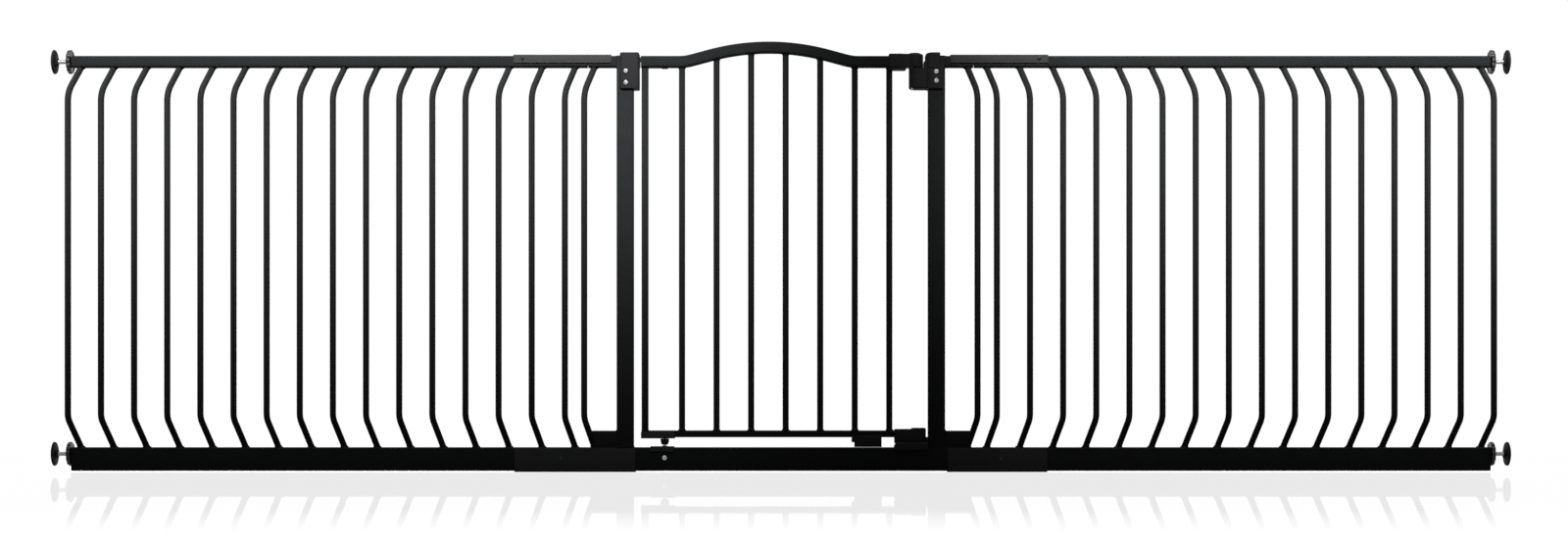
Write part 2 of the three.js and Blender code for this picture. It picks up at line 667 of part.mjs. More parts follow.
// The hand wheel that is screwed along the spindle, bearing on the bush.
function handNut(z) {
  const rim = Array.from({ length: 2 * NUT_GRIPS }, (_, i) => {
    const angle = (i / NUT_GRIPS) * Math.PI;
    const radius = NUT_RADIUS - (i % 2) * NUT_GRIP_DEPTH;
    return [radius * Math.cos(angle), z + radius * Math.sin(angle)];
  });
  return join(
    [prism(polygon(rim), 'x', nutInner, nutOuter)],
    [disc(z, SPINDLE_RADIUS + SPINDLE_CLEARANCE, nutInner - openEnd, nutOuter + openEnd)],
  );
}

// The wall cup: a disc with a hub for the spindle's end and a recess for the rubber pad.
function wallCup(z) {
  return join(
    [
      disc(z, CUP_RADIUS, cupInner, cupOuter),
      disc(z, CUP_HUB_RADIUS, cupHubInner, cupInner + CUP_THICKNESS / 2),
    ],
    [
      disc(z, RUBBER_RADIUS + SEAT_GAP, cupOuter - RUBBER_RECESS, cupOuter + openEnd),
      disc(z, SPINDLE_RADIUS + SEAT_GAP, cupHubInner - openEnd, cupHubInner + SPINDLE_SEAT + SEAT_GAP),
    ],
  );
}

const spindleLevels = [
  ['top', topRailMid, topRailOutline],
  ['base', baseRailTop - BASE_SPINDLE_DROP, baseRailOutline],
];
for (const [level, z, outline] of spindleLevels) {
  addPair(`${level}_rail_bush`, railEndBush(outline, z), blackPlastic);
  addPair(`${level}_spindle`, spindle(z), zincSteel);
  addPair(`${level}_hand_nut`, handNut(z), blackPlastic);
  addPair(`${level}_wall_cup`, wallCup(z), blackPlastic);
  const pad = disc(z, RUBBER_RADIUS, rubberInner, rubberInner + RUBBER_THICKNESS);
  addPair(`${level}_rubber_pad`, pad, rubber);
}

// ---- Hinge bracket on the left post ------------------------------------------------------------

// The room that a bracket leaves round a post: the post's own section with a seat gap.
function postRoom(x, z0, z1) {
  const halfWidth = POST_WIDTH / 2 + SEAT_GAP;
  const halfDepth = POST_DEPTH / 2 + SEAT_GAP;
  return block(x - halfWidth, x + halfWidth, -halfDepth, halfDepth, z0, z1);
}

// A silver screw through a bracket's front, ending behind the post's front wall.
function bracketScrew(x, z) {
  const length = bracketFront - POST_DEPTH / 2 + RAIL_WALL;
  return panScrew(
    x, z, -bracketFront, SILVER_SCREW_HEAD_RADIUS, SILVER_SCREW_HEAD, SILVER_SCREW_SHANK_RADIUS, length,
  );
}

const hingeBracketOutline = rectangle(
  -postX - HINGE_BRACKET_LEFT, -postInner + HINGE_BRACKET_WALL, -bracketFront, bracketFront, BRACKET_CORNER,
);
const armHalf = HINGE_ARM_WIDTH / 2;
const hingeCollarEnd = -postInner + HINGE_BRACKET_WALL + HINGE_COLLAR;
const armSlotInBracket = block(
  -postX, hingeCollarEnd + openEnd, -armHalf - SEAT_GAP, armHalf + SEAT_GAP,
  hingeArmZ - SEAT_GAP, hingeArmTop + SEAT_GAP,
);
addPiece('hinge_bracket', join(
  [
    prism(hingeBracketOutline, 'z', bracketZ, bracketTop),
    block(-postInner, hingeCollarEnd, -HINGE_COLLAR_HALF_DEPTH, HINGE_COLLAR_HALF_DEPTH,
      topRailZ, topRailZ + HINGE_COLLAR_HEIGHT),
  ],
  [
    postRoom(-postX, bracketZ - openEnd, RAIL_TOP + SEAT_GAP),
    armSlotInBracket,
    ...hingeScrewZs.map((z) => screwHole(hingeScrewX, z, SILVER_SCREW_SHANK_RADIUS)),
  ],
), blackPlastic);

['upper', 'lower'].forEach((level, i) => {
  addPiece(`hinge_bracket_screw_${level}`, bracketScrew(hingeScrewX, hingeScrewZs[i]), zincSteel);
});

// The flat steel arm that the door's top pin turns in. It runs from the bracket into the open left
// end of the door's top rail, and its end is round about the pivot.
const armRoot = -postInner + 2 * SEAT_GAP;
const pivotBoreRadius = PIVOT_PIN_RADIUS + PIVOT_CLEARANCE;
addPiece('hinge_arm', join(
  [
    block(armRoot, pivotX, -armHalf, armHalf, hingeArmZ, hingeArmTop),
    upright(pivotX, 0, hingeArmZ, hingeArmTop, armHalf, armHalf, HEAD_SIDES),
  ],
  [upright(pivotX, 0, hingeArmZ - openEnd, hingeArmTop + openEnd, pivotBoreRadius)],
), zincSteel);

// ---- Catch bracket on the right post -----------------------------------------------------------

const podFloor = latchPinEnd - SOCKET_FLOOR_GAP;
const socketHalf = LATCH_PIN_RADIUS + SOCKET_CLEARANCE;
const catchPinX = podX - CATCH_PIN_OFFSET;
const catchPinY = -CATCH_PIN_OFFSET;

const catchShoulderLeft = catchWallLeft - HANDLE_GAP + CATCH_SHOULDER_GAP;
const catchPlateOutline = (right) => {
  return rectangle(catchWallLeft, right, -bracketFront, bracketFront, BRACKET_CORNER);
};

// The hood over the post, the screw plate below it with its shoulder, and the round pod that holds
// the latch pin.
// The pod's socket is open at the back, so the door leaves it backwards and stops against its front.
addPiece('catch_bracket', join(
  [
    prism(catchPlateOutline(postX + CATCH_HOOD_RIGHT), 'z', bracketZ, bracketTop),
    prism(catchPlateOutline(postX + CATCH_BRACKET_RIGHT), 'z', bracketZ, topRailZ - SEAT_GAP),
    upright(podX, 0, bracketZ, podTop, CATCH_POD_RADIUS, CATCH_POD_RADIUS, DISC_SIDES),
    block(podX, catchWallLeft + BRACKET_CORNER, -CATCH_POD_RADIUS, CATCH_POD_RADIUS, bracketZ, podTop),
    block(catchShoulderLeft, catchWallLeft + BRACKET_CORNER, -CATCH_POD_RADIUS, CATCH_POD_RADIUS,
      bracketZ, RAIL_TOP - CATCH_SHOULDER_DROP),
  ],
  [
    postRoom(postX, bracketZ - openEnd, RAIL_TOP + SEAT_GAP),
    block(latchX - socketHalf, latchX + socketHalf, -socketHalf, BRACKET_DEPTH, podFloor, podTop + openEnd),
    upright(catchPinX, catchPinY, bracketZ - openEnd, podTop + openEnd, CATCH_PIN_RADIUS + SEAT_GAP),
    ...catchScrewZs.map((z) => screwHole(catchScrewX, z, SILVER_SCREW_SHANK_RADIUS)),
  ],
), blackPlastic);

['upper', 'lower'].forEach((level, i) => {
  addPiece(`catch_bracket_screw_${level}`, bracketScrew(catchScrewX, catchScrewZs[i]), zincSteel);
});

// A steel pin down through the pod stiffens it; both ends show.
addPiece('catch_pod_pin', upright(
  catchPinX, catchPinY, bracketZ - CATCH_PIN_STAND, podTop + CATCH_PIN_STAND / 2, CATCH_PIN_RADIUS,
), zincSteel);

// ---- Lower hinge -------------------------------------------------------------------------------

// The folded plate that backs the pivot on the base rail's top and front edge.
const plateTop = baseRailTop + SEAT_GAP + PIVOT_PLATE_THICKNESS;
const plateFront = -baseFront - SEAT_GAP - PIVOT_PLATE_THICKNESS;
const plateLeft = pivotX - PIVOT_PLATE_LEFT;
const plateRight = pivotX + PIVOT_PLATE_RIGHT;
addPiece('lower_pivot_plate', join(
  [
    block(plateLeft, plateRight, plateFront, baseFront, baseRailTop + SEAT_GAP, plateTop),
    block(plateLeft, plateRight, plateFront, -baseFront - SEAT_GAP, baseRailTop - PIVOT_PLATE_DROP, plateTop),
  ],
  [upright(pivotX, 0, baseRailTop, plateTop + openEnd, PIVOT_STEM_RADIUS + SEAT_GAP)],
), blackSheet);

// The pin that carries the door: a stem in the base rail, a shoulder, and the pin itself, which
// reaches up into the door's hollow lower rail.
const pivotPinTop = doorFootTop - RAIL_WALL - SEAT_GAP;
const shoulderTop = liftBushZ - SEAT_GAP;
addPiece('lower_pivot_pin', join([
  upright(pivotX, 0, pivotStemZ, plateTop + SEAT_GAP + SHEET / 2, PIVOT_STEM_RADIUS),
  upright(pivotX, 0, plateTop + SEAT_GAP, shoulderTop, PIVOT_SHOULDER_RADIUS),
  upright(pivotX, 0, plateTop + SEAT_GAP + SHEET, pivotPinTop, PIVOT_PIN_RADIUS),
]), zincSteel);

// The screw in the rail's front face that holds the pin's stem.
addPiece('lower_pivot_screw', panScrew(
  pivotX, pivotScrewZ, -baseFront, SILVER_SCREW_HEAD_RADIUS, SILVER_SCREW_HEAD,
  SILVER_SCREW_SHANK_RADIUS, baseFront - PIVOT_STEM_RADIUS,
), zincSteel);

// The tapered bush under the door: it lifts with the door and slides on the pin.
addPiece('lift_bush', join(
  [upright(pivotX, 0, liftBushZ, liftBushTop, LIFT_BUSH_FOOT_RADIUS, LIFT_BUSH_RADIUS, HEAD_SIDES)],
  [upright(pivotX, 0, liftBushZ - openEnd, liftBushTop + openEnd, pivotBoreRadius)],
), blackPlastic);

// ---- Door --------------------------------------------------------------------------------------

// The centre line of the door's top rail: level at both ends, and arched between by a crown arc, a
// straight slope and a reverse arc on each side.
function archPoints() {
  const arc = (radius, angle) => [radius * Math.sin(angle), radius * (1 - Math.cos(angle))];
  const [crownRun, crownDrop] = arc(ARCH_CROWN_RADIUS, ARCH_SLOPE);
  const [haunchRun, haunchDrop] = arc(ARCH_HAUNCH_RADIUS, ARCH_SLOPE);
  const slopeRun = (ARCH_RISE - crownDrop - haunchDrop) / Math.tan(ARCH_SLOPE);
  const halfSpan = crownRun + slopeRun + haunchRun;
  const rightHalf = [];
  for (let i = 1; i <= CROWN_STEPS; i += 1) {
    const [run, drop] = arc(ARCH_CROWN_RADIUS, (i / CROWN_STEPS) * ARCH_SLOPE);
    rightHalf.push([run, ARCH_RISE - drop]);
  }
  for (let i = HAUNCH_STEPS; i >= 0; i -= 1) {
    const [run, rise] = arc(ARCH_HAUNCH_RADIUS, (i / HAUNCH_STEPS) * ARCH_SLOPE);
    rightHalf.push([halfSpan - run, rise]);
  }
  const leftHalf = rightHalf.map(([run, height]) => [-run, height]).reverse();
  const arch = [...leftHalf, [0, ARCH_RISE], ...rightHalf];
  return arch.map(([run, height]) => new THREE.Vector3(run - ARCH_OFFSET, 0, topRailMid + height));
}

// The same line carried on past its level ends by extra, for a hollow that opens at both ends.
function doorRailPoints(extra) {
  const left = new THREE.Vector3(doorLeft - extra, 0, topRailMid);
  const right = new THREE.Vector3(doorRailRight + extra, 0, topRailMid);
  return [left, ...archPoints(), right];
}

// Height of the rail's centre line above the floor at x, for the bars that reach up to it.
function doorRailHeight(x) {
  const line = doorRailPoints(0);
  const i = line.findIndex((point) => point.x > x);
  const [a, b] = [line[i - 1], line[i]];
  return a.z + ((x - a.x) / (b.x - a.x)) * (b.z - a.z);
}

function square(size, corner) {
  return rectangle(-size / 2, size / 2, -size / 2, size / 2, corner);
}

// Top rail, stile, lower rail and bars welded together. The back wall of the top rail is cut away
// from its left end to just past the pivot, so that the hinge arm can leave as the door swings.
function doorFrame() {
  const railHollow = TOP_RAIL_SIZE - 2 * DOOR_RAIL_WALL;
  const footHalf = DOOR_FOOT_RAIL_SIZE / 2;
  const footMid = doorFootZ + footHalf;
  const footOutline = (inset) => rectangle(
    -footHalf + inset, footHalf - inset, doorFootZ + inset, doorFootTop - inset, RAIL_CORNER - inset,
  );
  const stileHalf = STILE_WIDTH / 2;
  const stileOutline = (inset) => rectangle(
    stileLeft + inset, stileLeft + STILE_WIDTH - inset,
    -stileHalf + inset, stileHalf - inset, RAIL_CORNER - inset,
  );
  const kept = [
    tubeAlong(doorRailPoints(0), square(TOP_RAIL_SIZE, RAIL_CORNER)),
    prism(footOutline(0), 'x', stileLeft, doorFootRight),
    prism(stileOutline(0), 'z', doorFootZ, topRailZ + RAIL_WALL / 2),
  ];
  const hollows = [
    tubeAlong(doorRailPoints(openEnd), square(railHollow, RAIL_CORNER - DOOR_RAIL_WALL)),
    prism(footOutline(RAIL_WALL), 'x', stileLeft - openEnd, doorFootRight + openEnd),
    prism(stileOutline(RAIL_WALL), 'z', footMid, topRailZ + 2 * RAIL_WALL),
  ];
  const boreRadius = DOOR_BAR_RADIUS - BAR_WALL;
  for (let i = 0; i < DOOR_BARS; i += 1) {
    const x = firstBarX + i * doorBarPitch;
    const foot = doorFootTop - RAIL_WALL;
    const underside = doorRailHeight(x) - TOP_RAIL_SIZE / 2;
    const head = underside + RAIL_WALL;
    kept.push(upright(x, 0, foot, head, DOOR_BAR_RADIUS, DOOR_BAR_RADIUS, BAR_SIDES));
    hollows.push(upright(x, 0, footMid, head + 2 * RAIL_WALL, boreRadius, boreRadius, BAR_SIDES));
  }
  const armSlot = block(
    doorLeft - openEnd, pivotX + HINGE_ARM_WIDTH / 2 + 2 * PIVOT_CLEARANCE,
    TOP_RAIL_SIZE / 2 - DOOR_RAIL_WALL - openEnd, TOP_RAIL_SIZE,
    topRailZ + DOOR_RAIL_WALL, RAIL_TOP - DOOR_RAIL_WALL,
  );
  const topPinHole = upright(
    pivotX, 0, topRailZ - openEnd, RAIL_TOP + openEnd, PIVOT_PIN_RADIUS + SEAT_GAP,
  );
  const footPinHole = upright(pivotX, 0, doorFootZ - openEnd, footMid, pivotBoreRadius);
  return join(kept, [...hollows, armSlot, topPinHole, footPinHole]);
}

addPiece('door_frame', doorFrame(), powderCoat);

// The pin down through the top rail and the hinge arm, with its head under the rail.
const topPinHeadTop = topRailZ - SEAT_GAP;
addPiece('top_hinge_pin', join([
  upright(pivotX, 0, topPinHeadTop - TOP_PIN_HEAD, topPinHeadTop, TOP_PIN_HEAD_RADIUS),
  upright(pivotX, 0, topPinHeadTop - TOP_PIN_HEAD / 2, RAIL_TOP, PIVOT_PIN_RADIUS),
]), blackScrew);

// The folded shoe round the lower rail's hinge end, drilled for the pivot pin.
const shoeHalf = DOOR_FOOT_RAIL_SIZE / 2 + SEAT_GAP + HINGE_SHOE_WALL;
const shoeRoomHalf = shoeHalf - HINGE_SHOE_WALL;
const shoeOutline = rectangle(-shoeHalf, shoeHalf, shoeZ, doorFootTop - RAIL_CORNER, RAIL_WALL);
const shoeRight = pivotX + HINGE_SHOE_RIGHT;
addPiece('lower_hinge_shoe', join(
  [prism(shoeOutline, 'x', stileLeft - HINGE_SHOE_LEFT, shoeRight)],
  [
    block(stileLeft - SEAT_GAP, shoeRight + openEnd, -shoeRoomHalf, shoeRoomHalf,
      doorFootZ - SEAT_GAP, doorFootTop),
    upright(pivotX, 0, shoeZ - openEnd, doorFootZ + openEnd, pivotBoreRadius),
  ],
), blackSheet);

// ---- Handle and release button -----------------------------------------------------------------

const buttonRoomZ = handleTop - (BUTTON_THICKNESS - BUTTON_STAND) - BUTTON_TRAVEL - 2 * SEAT_GAP;
const springRoomZ = topRailZ + LATCH_PIN_TOP + SEAT_GAP;

// Plan view of the housing: a straight sleeve, a waist, and a round boss over the catch.
function handleOutline() {
  const sleeve = HANDLE_SLEEVE_HALF_DEPTH;
  const waist = HANDLE_WAIST_HALF_DEPTH;
  const taperX = handleWaist - HANDLE_TAPER;
  const boss = [];
  for (let i = 0; i <= HANDLE_BOSS_STEPS; i += 1) {
    const angle = (i / HANDLE_BOSS_STEPS - 1 / 2) * HANDLE_BOSS_SWEEP;
    boss.push([latchX + HANDLE_BOSS_RADIUS * Math.cos(angle), HANDLE_BOSS_RADIUS * Math.sin(angle)]);
  }
  return polygon([
    [handleLeft, -sleeve + RAIL_CORNER], [handleLeft + RAIL_CORNER, -sleeve],
    [taperX, -sleeve], [handleWaist, -waist], ...boss, [handleWaist, waist], [taperX, sleeve],
    [handleLeft + RAIL_CORNER, sleeve], [handleLeft, sleeve - RAIL_CORNER],
  ]);
}

// An upright round room in the boss.
function bossRoom(z0, z1, radius) {
  return upright(latchX, 0, z0, z1, radius, radius, DISC_SIDES);
}

const railRoom = TOP_RAIL_SIZE / 2 + SEAT_GAP;
const barRoom = DOOR_BAR_RADIUS + SEAT_GAP;
const skirtHalf = HANDLE_WAIST_HALF_DEPTH;
const skirtOutline = rectangle(handleLeft, handleWaist, -skirtHalf, skirtHalf, RAIL_CORNER);
const skirtZ = topRailZ - HANDLE_SKIRT;
addPiece('handle_housing', join(
  [
    prism(handleOutline(), 'z', topRailZ, handleTop),
    prism(skirtOutline, 'z', skirtZ, topRailZ + openEnd),
  ],
  [
    block(handleLeft - openEnd, doorRailRight + SEAT_GAP, -railRoom, railRoom,
      topRailZ - SEAT_GAP, RAIL_TOP + SEAT_GAP),
    block(handleLeft - openEnd, lastBarX + barRoom, -barRoom, barRoom, skirtZ - openEnd, topRailZ),
    bossRoom(buttonRoomZ, handleTop + openEnd, BUTTON_RADIUS + BUTTON_CLEARANCE),
    bossRoom(springRoomZ, handleTop, SPRING_RADIUS + 2 * SEAT_GAP),
    bossRoom(topRailZ - openEnd, springRoomZ + openEnd, LATCH_PIN_RADIUS + SEAT_GAP),
  ],
), blackPlastic);

const buttonTop = handleTop + BUTTON_STAND;
const buttonUnder = buttonTop - BUTTON_THICKNESS;
const buttonEdgeZ = buttonTop - BUTTON_EDGE;
const stemEnd = springRoomZ + BUTTON_TRAVEL + 2 * SEAT_GAP;
addPiece('release_button', join([
  upright(latchX, 0, buttonUnder, buttonEdgeZ, BUTTON_RADIUS, BUTTON_RADIUS, DISC_SIDES),
  upright(latchX, 0, buttonEdgeZ, buttonTop, BUTTON_RADIUS, BUTTON_RADIUS - BUTTON_EDGE, DISC_SIDES),
  upright(latchX, 0, stemEnd, buttonEdgeZ, BUTTON_STEM_RADIUS),
]), buttonPlastic);

// The coil spring under the button, round its stem.
function buttonSpring() {
  const low = springRoomZ + SPRING_WIRE + SEAT_GAP;
  const high = buttonUnder - SPRING_WIRE - SEAT_GAP;
  const steps = SPRING_TURNS * SPRING_STEPS;
  const radius = SPRING_RADIUS - SPRING_WIRE;
  const points = Array.from({ length: steps + 1 }, (_, i) => {
    const angle = (i / steps) * SPRING_TURNS * 2 * Math.PI;
    return new THREE.Vector3(
      latchX + radius * Math.cos(angle), radius * Math.sin(angle), low + (i / steps) * (high - low),
    );
  });
  return tubeAlong(points, round(0, 0, SPRING_WIRE, WIRE_SIDES));
}

addPiece('button_spring', buttonSpring(), zincSteel);

addPiece('latch_pin', upright(
  latchX, 0, latchPinEnd, topRailZ + LATCH_PIN_TOP, LATCH_PIN_RADIUS,
), zincSteel);

// ---- Lower catch -------------------------------------------------------------------------------

// The plastic lug on the end of the door's lower rail, with a nose that drops behind the strike.
const lugLeft = doorFootRight + SEAT_GAP;
const lugRight = postInner - LUG_GAP;
const lugTop = doorFootTop + LUG_COVER;
const lugOutline = (low, high) => rectangle(-LUG_HALF_DEPTH, LUG_HALF_DEPTH, low, high, RAIL_WALL);
const lugBodyOutline = lugOutline(strikeTop + LUG_CLEARANCE, lugTop - LUG_BODY_STEP);
const spigotInset = RAIL_WALL + SEAT_GAP;
const spigotHalf = DOOR_FOOT_RAIL_SIZE / 2 - spigotInset;
addPiece('latch_lug', join([
  prism(lugBodyOutline, 'x', lugLeft, lugRight - LUG_BODY_STEP),
  prism(lugOutline(lugNoseEnd, lugTop), 'x', lugRight - LUG_NOSE_LENGTH, lugRight),
  block(doorFootRight - LUG_GRIP, lugLeft + RAIL_WALL, -spigotHalf, spigotHalf,
    doorFootZ + spigotInset, doorFootTop - spigotInset),
]), blackPlastic);

// The strike on the base rail: a floor, a front wall that the lug stops against, a lip over the
// rail's front edge and an end wall beside the post. It is open at the back.
const strikeRight = postInner - SEAT_GAP;
const strikeLeft = strikeRight - STRIKE_LENGTH;
const strikeFront = -baseFront - SEAT_GAP - STRIKE_WALL;
const strikeZ = baseRailTop + SEAT_GAP;
const strikeFloorTop = strikeZ + STRIKE_FLOOR;
const strikeLipZ = baseRailTop - STRIKE_LIP_DROP;
addPiece('strike', join([
  block(strikeLeft, strikeRight, strikeFront, baseFront, strikeZ, strikeFloorTop),
  block(strikeLeft, strikeRight, strikeFront, -LUG_HALF_DEPTH - 2 * SEAT_GAP, strikeZ, strikeTop),
  block(strikeLeft, strikeRight, strikeFront, -baseFront - SEAT_GAP, strikeLipZ, strikeFloorTop),
  block(strikeRight - STRIKE_CHEEK, strikeRight, strikeFront, baseFront, strikeZ,
    baseRailTop + STRIKE_CHEEK_HEIGHT),
]), blackPlastic);

// The stop under the door's lower rail: a block with a front lip that the rail closes against.
const stopRight = postInner - STOP_INSET;
const stopLeft = stopRight - STOP_LENGTH;
const stopTop = doorFootZ - SEAT_GAP;
const stopMid = (strikeZ + stopTop) / 2;
const stopLipBack = -DOOR_FOOT_RAIL_SIZE / 2 - SEAT_GAP;
const stopFront = stopLipBack - STOP_LIP_WALL;
addPiece('door_stop', join([
  block(stopLeft + STOP_STEP, stopRight, stopFront, baseFront, strikeZ, stopTop),
  block(stopLeft, stopRight, stopFront, baseFront, stopMid, stopTop),
  block(stopLeft, stopRight, stopFront, stopLipBack, stopMid, stopTop + STOP_LIP_RISE),
]), blackPlastic);

export default gate;
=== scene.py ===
"""A black pressure-mounted safety gate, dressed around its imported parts.

The sections follow the gate as it is put together: extension panels, gate frame, connectors, wall
fittings, brackets, door, handle, catches, and then the studio. Metres, +Z up, -Y to the front.
"""
import math

import bpy
import numpy as np
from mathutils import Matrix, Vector


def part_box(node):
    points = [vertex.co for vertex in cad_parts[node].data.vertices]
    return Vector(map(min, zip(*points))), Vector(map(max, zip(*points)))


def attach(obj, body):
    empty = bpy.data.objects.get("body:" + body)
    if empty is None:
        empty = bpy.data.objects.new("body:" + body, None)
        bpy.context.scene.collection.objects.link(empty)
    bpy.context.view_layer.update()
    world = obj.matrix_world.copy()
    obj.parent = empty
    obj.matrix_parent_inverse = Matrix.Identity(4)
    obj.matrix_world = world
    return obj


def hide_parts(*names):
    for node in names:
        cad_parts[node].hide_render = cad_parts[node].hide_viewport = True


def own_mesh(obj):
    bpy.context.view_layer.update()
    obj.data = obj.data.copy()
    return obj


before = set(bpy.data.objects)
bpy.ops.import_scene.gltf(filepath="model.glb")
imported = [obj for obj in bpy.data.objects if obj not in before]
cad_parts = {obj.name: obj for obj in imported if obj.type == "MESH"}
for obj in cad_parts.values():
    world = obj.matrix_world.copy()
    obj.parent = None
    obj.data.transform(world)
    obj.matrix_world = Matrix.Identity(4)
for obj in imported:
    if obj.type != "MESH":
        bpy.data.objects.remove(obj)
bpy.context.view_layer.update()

# ---- Extension panels ----
# Two welded grilles of round steel tube between square-tube rails, all coated in matt black
# powder. Each bar bows forward and towards the wall, and has a small weld bead at each end.

SIDES = ("right", "left")
TOP_RAIL = 0.020
BASE_RAIL_DEPTH = 0.025
BASE_RAIL_HEIGHT = 0.042
RAIL_CORNER = 0.0035
RAIL_EDGE = 0.0005
BUSH_FLANGE = 0.0015  # the flange of a rail bush, beyond the rail's end
BAR_RADIUS = 0.0055
BARS_PER_PANEL = 16
BAR_FIRST = 0.022  # first bar's foot from the panel's inner end
BAR_LAST = 0.0135  # last bar's foot from its outer end
BAR_SINK = 0.08  # how far a bar runs on into its rails, as a share of its sloping end
BOW_OUT = 0.016
BOW_FORWARD = 0.028
BOW_FOOT = 0.051
BOW_HEAD = 0.0465
FOOT_BEND, HEAD_BEND = 0.018, 0.034
BEAD_HEIGHT = 0.0016
BEAD_SPREAD = 0.0017
DENSE_END = 0.016  # the stretch of a bar that has extra rings for its bead
DENSE_STEP = 0.0009
RELIEF_DEPTH = 0.0002
CRISP_ANGLE = math.radians(35)


def joined_rings(rings, looped=False):
    """A surface through rings of points, given as an array (ring, point, xyz).

    Point (i, j) joins (i, j + 1) round the ring and (i + 1, j) along the stack. The two end rings
    are filled, or with looped the last ring joins the first one again.
    """
    count, around = rings.shape[:2]
    i = np.arange(count if looped else count - 1)[:, None]
    j = np.arange(around)[None, :]
    following, beside = (i + 1) % count, (j + 1) % around
    quads = np.stack([
        i * around + j, i * around + beside, following * around + beside, following * around + j,
    ], axis=-1).reshape(-1, 4)
    faces = [tuple(quad) for quad in quads.tolist()]
    if not looped:
        faces.append(tuple(range(around - 1, -1, -1)))
        faces.append(tuple(range((count - 1) * around, count * around)))
    return rings.reshape(-1, 3), faces


def on_side(side, surfaces):
    """Surfaces drawn for the right side, or mirrored to the left: X is negated, and every face's
    order is reversed so that it still points outwards."""
    if side == "right":
        return surfaces
    return [(points * (-1, 1, 1), [face[::-1] for face in faces]) for points, faces in surfaces]


def outline(corners, radii, steps=5):
    """A closed outline through corner points (corner, uv), each corner rounded by a true arc.

    With unit directions a and b to the two neighbours and angle w between them, the arc's centre
    is the corner plus (a + b) / |a + b| * r / sin(w / 2), and its points are a spherical blend
    between the two tangent points seen from that centre.
    """
    corners = np.asarray(corners, float)
    radii = np.broadcast_to(np.asarray(radii, float), len(corners))[:, None]
    a = np.roll(corners, 1, axis=0) - corners
    b = np.roll(corners, -1, axis=0) - corners
    a /= np.linalg.norm(a, axis=1, keepdims=True)
    b /= np.linalg.norm(b, axis=1, keepdims=True)
    half = np.arccos(np.clip((a * b).sum(1, keepdims=True), -1, 1)) / 2
    bisector = (a + b) / np.linalg.norm(a + b, axis=1, keepdims=True)
    centre = corners + bisector * radii / np.sin(half)
    start = corners + a * radii / np.tan(half) - centre
    end = corners + b * radii / np.tan(half) - centre
    sweep = (math.pi - 2 * half)[:, None, :]
    share = np.linspace(0, 1, steps + 1)[None, :, None]
    arc = (np.sin((1 - share) * sweep) * start[:, None] + np.sin(share * sweep) * end[:, None])
    return (centre[:, None] + arc / np.sin(sweep)).reshape(-1, 2)


def oblong(u0, u1, v0, v1, radius=RAIL_CORNER, steps=5):
    return outline([(u0, v0), (u1, v0), (u1, v1), (u0, v1)], radius, steps)


def inset(ring, distance):
    """The outline moved inwards by distance: each point goes along its mitre, which is the sum of
    its two edges' inward normals over one plus their dot product."""
    edge = np.roll(ring, -1, axis=0) - ring
    edge /= np.maximum(np.linalg.norm(edge, axis=1, keepdims=True), 1e-12)
    ahead = np.stack([-edge[:, 1], edge[:, 0]], axis=1)
    behind = np.roll(ahead, 1, axis=0)
    mitre = (ahead + behind) / (1 + (ahead * behind).sum(1, keepdims=True))
    return ring + mitre * distance


LAID = {"x": (1, 2, 0), "y": (2, 0, 1), "z": (0, 1, 2)}  # where u, v and the height go


def laid(rings, height, axis):
    """Drawn rings (..., uv) set at heights along an axis: u and v take the next two axes, as y and
    z along x, z and x along y, and x and y along z."""
    points = np.empty((*rings.shape[:-1], 3))
    u, v, w = LAID[axis]
    points[..., u], points[..., v], points[..., w] = rings[..., 0], rings[..., 1], height
    return points


def rounded_end(ring, axis, end, inwards, radius, steps=3):
    """The rings of a quarter-round edge at one end of a block, in rising order. At angle t a ring
    is inset by r (1 - sin t) and stands r (1 - cos t) in from the end: inwards is 1 at the low
    end, and -1 at the high one."""
    t = np.linspace(0, math.pi / 2, steps + 1)
    places = zip(radius * (1 - np.sin(t)), end + inwards * radius * (1 - np.cos(t)))
    return [laid(inset(ring, back), height, axis) for back, height in places][::inwards]


def block(ring, axis, low, high, low_edge=RAIL_EDGE, high_edge=None, steps=3):
    """An outline pushed from low to high along an axis, with a rounded edge at each end."""
    high_edge = low_edge if high_edge is None else high_edge
    return joined_rings(np.array(rounded_end(ring, axis, low, 1, low_edge, steps)
                                 + rounded_end(ring, axis, high, -1, high_edge, steps)))


def swept(ring, path, across=(0, 1, 0)):
    """Rings (path point, ring point, xyz) of a drawn outline carried square along a path: t is the
    path's central difference, u is across less its part along t, and v = t x u."""
    across = np.asarray(across, float)
    tangent = np.gradient(path, axis=0)
    tangent /= np.linalg.norm(tangent, axis=1, keepdims=True)
    u = across - tangent * (tangent @ across)[:, None]
    u /= np.linalg.norm(u, axis=1, keepdims=True)
    v = np.cross(tangent, u)
    return path[:, None] + ring[None, :, :1] * u[:, None] + ring[None, :, 1:] * v[:, None]


def angles_round(around):
    return np.arange(around) / around * 2 * math.pi


def circle(radius, around):
    angle = angles_round(around)
    return radius * np.stack([np.cos(angle), np.sin(angle)], axis=1)


